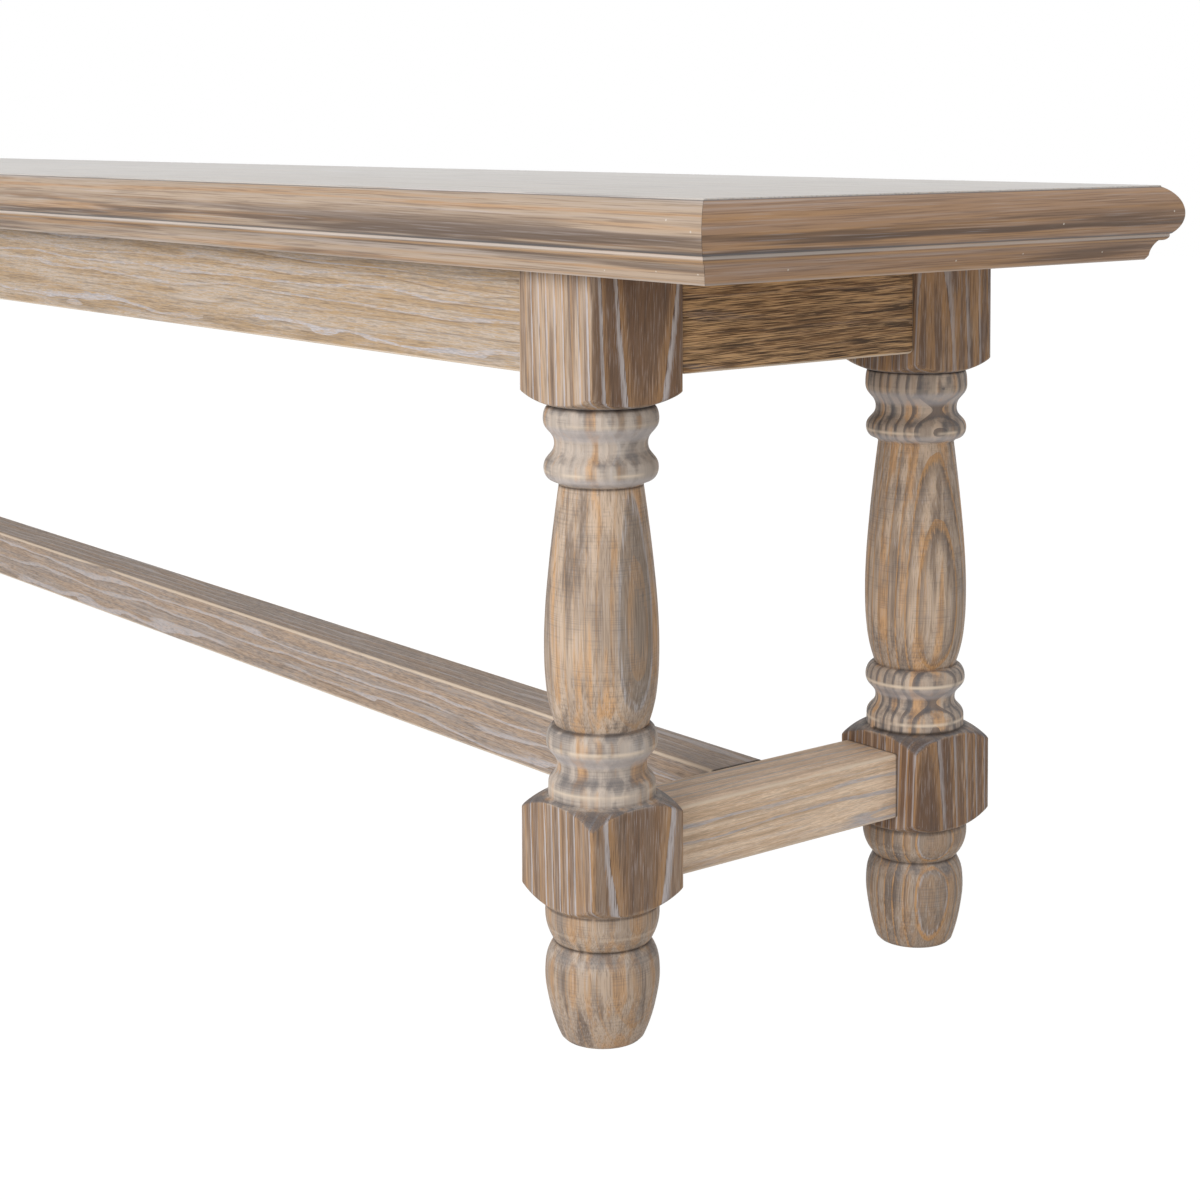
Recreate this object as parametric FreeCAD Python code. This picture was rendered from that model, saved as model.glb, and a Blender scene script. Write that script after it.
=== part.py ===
import FreeCAD, Part
import math
import os

# Dining bench with four turned legs, an H stretcher and a mitred moulding round the seat.
# Millimetres, +Z up, X along the bench, the front facing -Y.
# The origin is on the floor under the middle of the bench.

# Whole bench
bench_length = 1829.0
bench_depth = 358.5
bench_height = 457.0

# Fits and cuts
glue_gap = 0.15
cut_overrun = 1.0

# Seat panel, which stands a little above the mouldings round it
panel_thickness = 20.0
panel_inset = 9.5
panel_stand = 0.8
panel_easing = 0.5

# Moulding section, from its top down: nose, quirk, fillet, ovolo, cove and lip
moulding_height = 41.1
moulding_width = 34.0
nose_rise = 14.9
nose_fall = 11.3
nose_return = 5.2
quirk_step = 0.8
quirk_drop = 0.4
fillet_drop = 1.3
ovolo_reach = 4.1
ovolo_drop = 2.1
ovolo_bulge = 0.9
cove_reach = 4.0
cove_drop = 8.8
cove_hollow = 0.8
lip_reach = 1.6

# Battens under the seat panel
edge_batten_width = 60.0
end_batten_width = 140.0
middle_batten_width = 70.0
middle_batten_count = 3

# Legs: the square stock and where it stands under the seat
leg_size = 63.5
leg_end_inset = 118.9
leg_side_inset = 27.2
leg_arris_radius = 1.7

# Heights of a leg's parts, from the foot up; the vase takes what is left
foot_height = 53.4
ankle_bead_height = 18.1
lower_block_height = 60.0
collar_bead_height = 13.1
lower_cove_height = 8.4
lower_bead_height = 18.5
neck_fillet_height = 2.4
upper_bead_height = 14.5
upper_cove_height = 11.5
top_bead_height = 13.7
upper_block_height = 73.4

# How deep each turned part is cut below the faces of the square stock
sole_cut = 10.7
sole_chamfer = 1.6
foot_belly_cut = 0.75
ankle_groove_cut = 5.85
ankle_bead_cut = 1.35
ankle_end_cut = 1.25
collar_end_cut = 2.55
collar_bead_cut = 2.75
lower_root_cut = 6.05
lower_cove_cut = 7.5
lower_bead_cut = 1.65
vase_foot_cut = 6.55
vase_belly_cut = 0.75
neck_cut = 8.95
neck_fillet_cut = 7.0
upper_bead_cut = 0.85
upper_root_cut = 4.6
upper_cove_cut = 6.55
top_bead_cut = 0.55
top_end_cut = 2.95

# Shoulders, where a turned part runs out over the corners of a square block
foot_shoulder_height = 10.2
collar_shoulder_height = 7.8
top_shoulder_height = 8.4
shoulder_bulge_share = 0.55

# The longest straight steps that the turned curves are cut in, which keep the facets low
bead_step = 3.8
swelling_step = 18.8

# Outlines as shares of the height and of the radius gained from the narrowest place to the belly
foot_rise_shares = ((0.17, 0.43), (0.36, 0.75))
foot_belly_share = 0.67
foot_fall_shares = ((0.87, 0.72),)
vase_rise_shares = ((0.095, 0.61), (0.191, 0.89))
vase_belly_share = 0.344
vase_fall_shares = ((0.47, 0.93), (0.673, 0.65), (0.875, 0.27))

# Aprons between the legs, set back from the leg faces
apron_height = 56.4
apron_thickness = 22.0
long_apron_setback = 5.4
end_apron_setback = 3.2
apron_easing = 1.5

# Stretchers between the lower blocks of the legs
stretcher_height = 38.0
end_stretcher_width = 42.3
end_stretcher_setback = 15.1
centre_stretcher_width = 38.0
stretcher_easing = 1.6

# Tenons on the aprons and on the end stretchers
tenon_length = 20.0
tenon_shoulder = 8.0
apron_tenon_thickness = 10.0
stretcher_tenon_thickness = 20.0

# Cross rails, housed in the long aprons under the middle battens
cross_rail_thickness = 22.0
cross_rail_height = 45.0
housing_depth = 5.0

# Corner blocks, which span the aprons behind each leg
corner_block_thickness = 22.0
corner_block_height = 45.0
corner_block_gap = 4.0

# Wood screws and where they go
screw_radius = 2.0
screw_head_radius = 4.0
screw_head_height = 2.4
screw_bite = 14.0
counterbore_radius = 5.0
counterbore_depth = 14.0
rail_screw_spacing = 120.0

# Dowels between the centre stretcher and the end stretchers
dowel_radius = 5.0
dowel_length = 44.0
dowel_spacing = 18.0

# Heights that follow from the sizes above
moulding_top = bench_height - panel_stand
leg_height = moulding_top - moulding_height
panel_bottom = bench_height - panel_thickness

# Heights up a leg
lower_block_bottom = foot_height + ankle_bead_height
lower_block_top = lower_block_bottom + lower_block_height
collar_bead_top = lower_block_top + collar_bead_height
lower_cove_top = collar_bead_top + lower_cove_height
vase_bottom = lower_cove_top + lower_bead_height
upper_block_bottom = leg_height - upper_block_height
upper_cove_top = upper_block_bottom - top_bead_height
upper_bead_top = upper_cove_top - upper_cove_height
neck_fillet_top = upper_bead_top - upper_bead_height
vase_top = neck_fillet_top - neck_fillet_height

# Places measured out from the middle of the bench
half_length = bench_length / 2
half_depth = bench_depth / 2
moulding_inner_x = half_length - moulding_width
moulding_inner_y = half_depth - moulding_width
leg_outer_x = half_length - leg_end_inset
leg_inner_x = leg_outer_x - leg_size
leg_outer_y = half_depth - leg_side_inset
leg_inner_y = leg_outer_y - leg_size
long_apron_outer_y = leg_outer_y - long_apron_setback
long_apron_inner_y = long_apron_outer_y - apron_thickness
end_apron_outer_x = leg_outer_x - end_apron_setback
end_apron_inner_x = end_apron_outer_x - apron_thickness
end_stretcher_outer_x = leg_outer_x - end_stretcher_setback
end_stretcher_inner_x = end_stretcher_outer_x - end_stretcher_width
edge_batten_inner_y = moulding_inner_y - edge_batten_width
end_batten_inner_x = moulding_inner_x - end_batten_width
apron_bottom = leg_height - apron_height
stretcher_middle = lower_block_bottom + lower_block_height / 2
stretcher_bottom = stretcher_middle - stretcher_height / 2
stretcher_top = stretcher_bottom + stretcher_height
corner_block_bottom = leg_height - corner_block_height
corner_block_middle = leg_height - corner_block_height / 2
bay = 2 * end_batten_inner_x / (middle_batten_count + 1)

# Around a leg, in from its outer faces: the two lines that a corner block lies between
block_near_sum = 2 * leg_size + corner_block_gap
block_far_sum = block_near_sum + corner_block_thickness * math.sqrt(2)
block_end_in = end_apron_setback + apron_thickness
block_side_in = long_apron_setback + apron_thickness

origin = FreeCAD.Vector(0, 0, 0)
along_x = FreeCAD.Vector(1, 0, 0)
along_y = FreeCAD.Vector(0, 1, 0)
up = FreeCAD.Vector(0, 0, 1)


# Plain shapes

def box(low_x, low_y, low_z, high_x, high_y, high_z):
    """A box between its lowest and its highest corner."""
    corner = FreeCAD.Vector(low_x, low_y, low_z)
    return Part.makeBox(high_x - low_x, high_y - low_y, high_z - low_z, corner)


def line(start, end):
    return Part.LineSegment(start, end).toShape()


def arc(start, middle, end):
    return Part.Arc(start, middle, end).toShape()


def spline(points):
    curve = Part.BSplineCurve()
    curve.interpolate(points)
    return curve.toShape()


def stepped(curve, longest):
    """A curve as straight lines of equal length, none over the longest, between points on it."""
    points = curve.discretize(math.ceil(curve.Length / longest) + 1)
    return [line(start, end) for start, end in zip(points, points[1:])]


def prism(corners, height):
    """A straight-sided shape raised from a flat outline."""
    return Part.Face(Part.makePolygon(corners + [corners[0]])).extrude(up * height)


def bar(radius, start, end):
    """A round bar from one point to another."""
    run = end - start
    return Part.makeCylinder(radius, run.Length, start, run)


def moved(shape, x, y, z):
    copy = shape.copy()
    copy.translate(FreeCAD.Vector(x, y, z))
    return copy


def mirrored(shape, side_x, side_y):
    """A shape of the front right corner, taken to the corner that two signs name."""
    if side_x < 0:
        shape = shape.mirror(origin, along_x)
    if side_y > 0:
        shape = shape.mirror(origin, along_y)
    return shape


def eased(shape, direction, radius, top_too):
    """Round the long arrises that run in a direction, the lower ones only or all four."""
    middle = shape.BoundBox.Center.z
    chosen = []
    for edge in shape.Edges:
        run = edge.Vertexes[1].Point - edge.Vertexes[0].Point
        is_long = abs(run.dot(direction)) > run.Length / 2
        if is_long and (top_too or edge.CenterOfMass.z < middle):
            chosen.append(edge)
    return shape.makeFillet(radius, chosen)


def bulged(start, end, bulge):
    """An arc between two points of a section, standing off their chord by a bulge to its right."""
    chord = end - start
    side = FreeCAD.Vector(0, chord.z, -chord.y)
    side.normalize()
    return arc(start, (start + end) / 2 + side * bulge, end)


# Seat

def seat_panel():
    panel = box(
        panel_inset - half_length, panel_inset - half_depth, panel_bottom,
        half_length - panel_inset, half_depth - panel_inset, bench_height,
    )
    rim = [edge for edge in panel.Edges if edge.BoundBox.ZMin > panel_bottom + panel_thickness / 2]
    return panel.makeFillet(panel_easing, rim)


def nose_arc(nose_y, tip, reach, height):
    """Half of the nose: an arc that leaves its widest point upright and ends a reach further in."""
    radius = (reach ** 2 + height ** 2) / (2 * reach)
    half_turn = math.asin(height / radius) / 2
    side = math.copysign(1, height)
    middle_in = radius * (1 - math.cos(half_turn))
    middle = FreeCAD.Vector(0, nose_y + middle_in, tip + radius * math.sin(abs(half_turn)) * side)
    return arc(
        FreeCAD.Vector(0, nose_y, tip), middle, FreeCAD.Vector(0, nose_y + reach, tip + height)
    )


def moulding(run, across):
    """One mitred length of the edge moulding on the front of a rectangle run by across."""
    nose_y = -across / 2
    tip = moulding_top - nose_rise

    def at(inset, height):
        return FreeCAD.Vector(0, nose_y + inset, height)

    nose_end = at(nose_return, tip - nose_fall)
    fillet_top = nose_end + FreeCAD.Vector(0, quirk_step, -quirk_drop)
    fillet_end = fillet_top - up * fillet_drop
    ovolo_end = fillet_end + FreeCAD.Vector(0, ovolo_reach, -ovolo_drop)
    cove_end = ovolo_end + FreeCAD.Vector(0, cove_reach, -cove_drop)
    lip_end = at(nose_return + quirk_step + ovolo_reach + cove_reach + lip_reach, leg_height)
    edges = [
        nose_arc(nose_y, tip, panel_inset, nose_rise),
        nose_arc(nose_y, tip, nose_return, -nose_fall),
        line(nose_end, fillet_top),
        line(fillet_top, fillet_end),
        bulged(ovolo_end, fillet_end, ovolo_bulge),
        bulged(ovolo_end, cove_end, cove_hollow),
        line(cove_end, lip_end),
        line(lip_end, at(moulding_width, leg_height)),
        line(at(moulding_width, leg_height), at(moulding_width, panel_bottom)),
        line(at(moulding_width, panel_bottom), at(panel_inset, panel_bottom)),
        line(at(panel_inset, panel_bottom), at(panel_inset, moulding_top)),
    ]
    section = Part.Face(Part.Wire(Part.sortEdges(edges)[0]))
    length = moved(section.extrude(along_x * run), -run / 2, 0, 0)
    outer_x = run / 2 + cut_overrun
    outer_y = nose_y - cut_overrun
    inner_x = run / 2 - moulding_width - cut_overrun
    inner_y = nose_y + moulding_width + cut_overrun
    floor = leg_height - cut_overrun
    mitres = prism(
        [
            FreeCAD.Vector(-outer_x, outer_y, floor),
            FreeCAD.Vector(outer_x, outer_y, floor),
            FreeCAD.Vector(inner_x, inner_y, floor),
            FreeCAD.Vector(-inner_x, inner_y, floor),
        ],
        moulding_height + 2 * cut_overrun,
    )
    return length.common(mitres)


def front_edge_batten():
    return box(
        -moulding_inner_x, -moulding_inner_y, leg_height,
        moulding_inner_x, -edge_batten_inner_y, panel_bottom,
    )


def right_end_batten():
    return box(
        end_batten_inner_x, -edge_batten_inner_y, leg_height,
        moulding_inner_x, edge_batten_inner_y, panel_bottom,
    )


def middle_batten(x):
    return box(
        x - middle_batten_width / 2, -edge_batten_inner_y, leg_height,
        x + middle_batten_width / 2, edge_batten_inner_y, panel_bottom,
    )


# Legs

def at_cut(cut, height):
    """A point of the turned outline, so deep below the face of the square stock."""
    return FreeCAD.Vector(leg_size / 2 - cut, 0, height)


def turned(low, middle_cut, high):
    """A bead or a cove: one arc that reaches its middle cut half way up."""
    return stepped(arc(low, at_cut(middle_cut, (low.z + high.z) / 2), high), bead_step)


def shoulder(end, rise):
    """Two skew cuts that run out from a turned part, over the corners of the block beside it."""
    reach = leg_size / math.sqrt(2) + cut_overrun
    outer = FreeCAD.Vector(reach, 0, end.z + rise)
    middle = FreeCAD.Vector((end.x + reach) / 2, 0, end.z + rise * shoulder_bulge_share)
    return [line(end, middle), line(middle, outer)]


def between(low, high, belly_cut, height_share, gain_share, from_low):
    """A point of a swelling outline, by shares of its height and of the radius it gains."""
    narrow = low.x if from_low else high.x
    belly = at_cut(belly_cut, 0).x
    height = low.z + (high.z - low.z) * height_share
    return FreeCAD.Vector(narrow + (belly - narrow) * gain_share, 0, height)


def swelling(low, high, belly_cut, rise_shares, belly_share, fall_shares):
    """The smooth outline of a vase or a bun foot, from its foot over its belly to its neck."""
    points = [low]
    for height_share, gain_share in rise_shares:
        points.append(between(low, high, belly_cut, height_share, gain_share, True))
    points.append(between(low, high, belly_cut, belly_share, 1, True))
    for height_share, gain_share in fall_shares:
        points.append(between(low, high, belly_cut, height_share, gain_share, False))
    return stepped(spline(points + [high]), swelling_step)


def turned_outline():
    """The outline of a leg from the middle of its sole to the middle of its top."""
    sole_edge = at_cut(sole_cut, 0)
    sole_top = at_cut(sole_cut - sole_chamfer, sole_chamfer)
    ankle_groove = at_cut(ankle_groove_cut, foot_height)
    ankle_end = at_cut(ankle_end_cut, lower_block_bottom)
    collar_end = at_cut(collar_end_cut, lower_block_top)
    collar_root = at_cut(lower_root_cut, collar_bead_top)
    lower_root = at_cut(lower_root_cut, lower_cove_top)
    vase_foot = at_cut(vase_foot_cut, vase_bottom)
    neck = at_cut(neck_cut, vase_top)
    neck_edge = at_cut(neck_fillet_cut, neck_fillet_top)
    upper_root = at_cut(upper_root_cut, upper_bead_top)
    top_root = at_cut(upper_root_cut, upper_cove_top)
    top_end = at_cut(top_end_cut, upper_block_bottom)
    reach = leg_size / math.sqrt(2) + cut_overrun
    lower_block_edge = line(
        FreeCAD.Vector(reach, 0, lower_block_bottom + foot_shoulder_height),
        FreeCAD.Vector(reach, 0, lower_block_top - collar_shoulder_height),
    )
    upper_block_edge = line(
        FreeCAD.Vector(reach, 0, upper_block_bottom + top_shoulder_height),
        FreeCAD.Vector(reach, 0, leg_height),
    )
    return [
        line(origin, sole_edge),
        line(sole_edge, sole_top),
        *swelling(
            sole_top, ankle_groove, foot_belly_cut,
            foot_rise_shares, foot_belly_share, foot_fall_shares,
        ),
        *turned(ankle_groove, ankle_bead_cut, ankle_end),
        *shoulder(ankle_end, foot_shoulder_height),
        lower_block_edge,
        *shoulder(collar_end, -collar_shoulder_height),
        *turned(collar_end, collar_bead_cut, collar_root),
        *turned(collar_root, lower_cove_cut, lower_root),
        *turned(lower_root, lower_bead_cut, vase_foot),
        *swelling(
            vase_foot, neck, vase_belly_cut,
            vase_rise_shares, vase_belly_share, vase_fall_shares,
        ),
        line(neck, neck_edge),
        *turned(neck_edge, upper_bead_cut, upper_root),
        *turned(upper_root, upper_cove_cut, top_root),
        *turned(top_root, top_bead_cut, top_end),
        *shoulder(top_end, top_shoulder_height),
        upper_block_edge,
        line(FreeCAD.Vector(reach, 0, leg_height), FreeCAD.Vector(0, 0, leg_height)),
        line(FreeCAD.Vector(0, 0, leg_height), origin),
    ]


def leg_blank():
    """The turned leg on its own axis, before any joint is cut in it."""
    half = leg_size / 2
    stock = box(-half, -half, 0, half, half, leg_height)
    stock = eased(stock, up, leg_arris_radius, True)
    outline = Part.Face(Part.Wire(Part.sortEdges(turned_outline())[0]))
    return stock.common(outline.revolve(origin, up, 360))


def near_leg(end_in, side_in, height):
    """A point so far in from the end and side faces of the front right leg."""
    return FreeCAD.Vector(leg_outer_x - end_in, side_in - leg_outer_y, height)


def front_right_leg():
    leg = moved(leg_blank(), leg_outer_x - leg_size / 2, leg_size / 2 - leg_outer_y, 0)
    mortises = [
        long_apron_tenon(glue_gap),
        end_apron_tenon(glue_gap),
        end_stretcher_tenon(glue_gap),
    ]
    return leg.cut(mortises)


# Aprons and stretchers; each tenon is at the front right leg, and with a gap it cuts the mortise

def long_apron_tenon(gap):
    middle = (long_apron_outer_y + long_apron_inner_y) / 2
    half = apron_tenon_thickness / 2 + gap
    return box(
        leg_inner_x, -middle - half, apron_bottom + tenon_shoulder - gap,
        leg_inner_x + tenon_length + gap, half - middle, leg_height - tenon_shoulder + gap,
    )


def end_apron_tenon(gap):
    middle = (end_apron_outer_x + end_apron_inner_x) / 2
    half = apron_tenon_thickness / 2 + gap
    return box(
        middle - half, -leg_inner_y - tenon_length - gap, apron_bottom + tenon_shoulder - gap,
        middle + half, -leg_inner_y, leg_height - tenon_shoulder + gap,
    )


def end_stretcher_tenon(gap):
    middle = (end_stretcher_outer_x + end_stretcher_inner_x) / 2
    half = stretcher_tenon_thickness / 2 + gap
    return box(
        middle - half, -leg_inner_y - tenon_length - gap, stretcher_bottom + tenon_shoulder - gap,
        middle + half, -leg_inner_y, stretcher_top - tenon_shoulder + gap,
    )


def front_apron():
    board = box(
        -leg_inner_x, -long_apron_outer_y, apron_bottom,
        leg_inner_x, -long_apron_inner_y, leg_height,
    )
    board = eased(board, along_x, apron_easing, False)
    tenon = long_apron_tenon(0)
    board = board.fuse([tenon, mirrored(tenon, -1, -1)]).removeSplitter()
    housings = [cross_rail(x, glue_gap) for x in middle_places()]
    return board.cut(housings)


def right_end_apron():
    board = box(
        end_apron_inner_x, -leg_inner_y, apron_bottom,
        end_apron_outer_x, leg_inner_y, leg_height,
    )
    board = eased(board, along_y, apron_easing, False)
    tenon = end_apron_tenon(0)
    return board.fuse([tenon, mirrored(tenon, 1, 1)]).removeSplitter()


def right_end_stretcher():
    rail = box(
        end_stretcher_inner_x, -leg_inner_y, stretcher_bottom,
        end_stretcher_outer_x, leg_inner_y, stretcher_top,
    )
    rail = eased(rail, along_y, stretcher_easing, True)
    tenon = end_stretcher_tenon(0)
    return rail.fuse([tenon, mirrored(tenon, 1, 1)]).removeSplitter()


def centre_stretcher():
    rail = box(
        -end_stretcher_inner_x, -centre_stretcher_width / 2, stretcher_bottom,
        end_stretcher_inner_x, centre_stretcher_width / 2, stretcher_top,
    )
    return eased(rail, along_x, stretcher_easing, True)


# Under the seat

def middle_places():
    """Where the middle battens and the cross rails stand along the bench."""
    return [-end_batten_inner_x + bay * (index + 1) for index in range(middle_batten_count)]


def cross_rail(x, gap):
    half = cross_rail_thickness / 2 + gap
    end = long_apron_inner_y + housing_depth + gap
    return box(x - half, -end, leg_height - cross_rail_height - gap, x + half, end, leg_height)


def front_right_corner_block():
    corners = [
        near_leg(block_near_sum - block_side_in, block_side_in, corner_block_bottom),
        near_leg(block_far_sum - block_side_in, block_side_in, corner_block_bottom),
        near_leg(block_end_in, block_far_sum - block_end_in, corner_block_bottom),
        near_leg(block_end_in, block_near_sum - block_end_in, corner_block_bottom),
    ]
    return prism(corners, corner_block_height)


# Fasteners

def wood_screw(head, point):
    """A countersunk screw from the face of its head to its tip."""
    run = point - head
    outline = [
        origin,
        FreeCAD.Vector(screw_head_radius, 0, 0),
        FreeCAD.Vector(screw_radius, 0, screw_head_height),
        FreeCAD.Vector(screw_radius, 0, run.Length),
        FreeCAD.Vector(0, 0, run.Length),
    ]
    screw = Part.Face(Part.makePolygon(outline + [origin])).revolve(origin, up, 360)
    screw.Placement = FreeCAD.Placement(head, FreeCAD.Rotation(up, run))
    return screw


def seat_screw(x, y, bottom):
    """A screw up through a rail or block into a batten, with its head deep in a counterbore."""
    head = FreeCAD.Vector(x, y, bottom + counterbore_depth)
    return wood_screw(head, FreeCAD.Vector(x, y, leg_height + screw_bite))


def counterbore(x, y, bottom):
    mouth = FreeCAD.Vector(x, y, bottom)
    return bar(counterbore_radius, mouth, mouth + up * counterbore_depth)


def block_seat_screw_place():
    """In the middle of the corner block, seen from below."""
    middle = (block_near_sum + block_far_sum) / 4
    return near_leg(middle, middle, 0)


def stretcher_dowels():
    dowels = []
    for side in (-1, 1):
        y = side * dowel_spacing / 2
        start = FreeCAD.Vector(end_stretcher_inner_x - dowel_length / 2, y, stretcher_middle)
        dowels.append(bar(dowel_radius, start, start + along_x * dowel_length))
    return dowels


# The whole bench

corners = {
    "front_left": (-1, -1),
    "front_right": (1, -1),
    "back_left": (-1, 1),
    "back_right": (1, 1),
}


def at_corners(shapes):
    """Copies of the front right corner's shapes at all four corners."""
    copies = []
    for side_x, side_y in corners.values():
        for shape in shapes:
            copies.append(mirrored(shape, side_x, side_y))
    return copies


def all_seat_screws():
    place = block_seat_screw_place()
    screws = at_corners([seat_screw(place.x, place.y, corner_block_bottom)])
    bottom = leg_height - cross_rail_height
    for x in middle_places():
        for side in (-1, 1):
            screws.append(seat_screw(x, side * rail_screw_spacing / 2, bottom))
    return screws


def build():
    """Every piece of the bench by its name."""
    seat_fixings = all_seat_screws()
    end_dowels = stretcher_dowels()
    dowels = end_dowels + [mirrored(dowel, -1, -1) for dowel in end_dowels]

    front_moulding = moulding(bench_length, bench_depth)
    end_moulding = moulding(bench_depth, bench_length)
    end_moulding.rotate(origin, up, 90)
    front_batten = front_edge_batten().cut(seat_fixings)
    leg = front_right_leg()
    end_stretcher = right_end_stretcher().cut(dowels)
    place = block_seat_screw_place()
    block_bore = counterbore(place.x, place.y, corner_block_bottom)
    block = front_right_corner_block().cut([block_bore] + seat_fixings)

    pieces = {
        "seat_panel": seat_panel(),
        "front_moulding": front_moulding,
        "back_moulding": mirrored(front_moulding, 1, 1),
        "right_end_moulding": end_moulding,
        "left_end_moulding": mirrored(end_moulding, -1, -1),
        "front_edge_batten": front_batten,
        "back_edge_batten": mirrored(front_batten, 1, 1),
        "right_end_batten": right_end_batten(),
        "left_end_batten": mirrored(right_end_batten(), -1, -1),
        "front_apron": front_apron(),
        "back_apron": mirrored(front_apron(), 1, 1),
        "right_end_apron": right_end_apron(),
        "left_end_apron": mirrored(right_end_apron(), -1, -1),
        "right_end_stretcher": end_stretcher,
        "left_end_stretcher": mirrored(end_stretcher, -1, -1),
        "centre_stretcher": centre_stretcher().cut(dowels),
    }
    rail_bottom = leg_height - cross_rail_height
    for index, x in enumerate(middle_places()):
        bores = [counterbore(x, side * rail_screw_spacing / 2, rail_bottom) for side in (-1, 1)]
        pieces[f"cross_rail_{index + 1}"] = cross_rail(x, 0).cut(bores + seat_fixings)
        pieces[f"middle_batten_{index + 1}"] = middle_batten(x).cut(seat_fixings)
    for corner, (side_x, side_y) in corners.items():
        pieces[corner + "_leg"] = mirrored(leg, side_x, side_y)
        pieces[corner + "_corner_block"] = mirrored(block, side_x, side_y)
    pieces["seat_screws"] = Part.makeCompound(seat_fixings)
    pieces["stretcher_dowels"] = Part.makeCompound(dowels)
    return pieces


os.makedirs("parts", exist_ok=True)
for name, shape in build().items():
    shape.exportStep("parts/" + name + ".step")
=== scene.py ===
import math

import bmesh
import bpy
from mathutils import Matrix, Vector
from mathutils.bvhtree import BVHTree
from mathutils.geometry import interpolate_bezier


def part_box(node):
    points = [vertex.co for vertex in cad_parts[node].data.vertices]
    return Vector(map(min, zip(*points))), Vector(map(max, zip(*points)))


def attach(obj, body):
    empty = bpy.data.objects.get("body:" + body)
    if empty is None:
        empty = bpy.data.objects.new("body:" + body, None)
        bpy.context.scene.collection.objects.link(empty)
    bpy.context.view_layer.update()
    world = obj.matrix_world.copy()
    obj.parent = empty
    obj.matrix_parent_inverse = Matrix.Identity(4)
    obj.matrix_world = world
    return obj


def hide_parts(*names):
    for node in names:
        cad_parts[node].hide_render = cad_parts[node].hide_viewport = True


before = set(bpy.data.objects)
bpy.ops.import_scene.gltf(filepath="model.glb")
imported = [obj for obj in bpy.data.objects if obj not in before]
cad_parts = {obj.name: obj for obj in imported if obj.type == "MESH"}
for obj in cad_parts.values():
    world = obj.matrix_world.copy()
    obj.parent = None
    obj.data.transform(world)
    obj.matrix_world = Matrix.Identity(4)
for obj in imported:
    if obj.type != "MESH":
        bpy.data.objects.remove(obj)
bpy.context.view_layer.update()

bl_info = {
    "name": "Dining bench",
    "version": (1, 0, 0),
    "blender": (4, 5, 0),
    "location": "View3D > Sidebar > Bench",
    "description": "Dresses the packed bench in turned legs, moulded edges and limed, glazed wood",
    "category": "Object",
}

# Metres, +Z up, X along the bench, the front facing -Y, as in the frame
mm = 0.001
half_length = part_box("right_end_moulding")[1].x
half_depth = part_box("back_moulding")[1].y
panel_low, panel_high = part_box("seat_panel")
bench_top = panel_high.z
moulding_low, moulding_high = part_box("front_moulding")
leg_low, leg_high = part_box("front_right_leg")
leg_size = leg_high.x - leg_low.x
leg_height = leg_high.z
white = (1.0, 1.0, 1.0, 1.0)

# How a log's own Z axis is turned to lie along a piece's grain, in degrees, and how many times
# longer than wide the marks of the grain are, before any stretch of their own
grain_turns = {"x": (0, 90, 0), "y": (-90, 0, 0), "z": (0, 0, 0)}
grain_reach = 8

# A bun foot and a vase by shares of their height and of what they swell by: the rise to the
# belly, the height of the belly, and the fall from it
foot_swell = (((0.17, 0.43), (0.36, 0.75)), 0.67, ((0.87, 0.72),))
vase_swell = (((0.095, 0.61), (0.191, 0.89)), 0.344, ((0.47, 0.93), (0.673, 0.65), (0.875, 0.27)))

# Points nearer than this are one point
same_place = 0.001 * mm


def linear(hex_colour):
    """A colour of an sRGB hex value, as the linear red, green and blue that shaders use."""
    shares = [int(hex_colour[start:start + 2], 16) / 255 for start in (1, 3, 5)]
    return [share / 12.92 if share <= 0.04045 else ((share + 0.055) / 1.055) ** 2.4 for share in shares]


def length(name, description, millimetres):
    return bpy.props.FloatProperty(
        name=name, description=description, default=millimetres * mm, unit="LENGTH", precision=5
    )


def colour(name, description, hex_colour):
    return bpy.props.FloatVectorProperty(
        name=name, description=description, default=linear(hex_colour), subtype="COLOR",
        min=0.0, max=1.0,
    )


def share(name, description, default):
    return bpy.props.FloatProperty(
        name=name, description=description, default=default, subtype="FACTOR", min=0.0, max=2.0
    )


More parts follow.
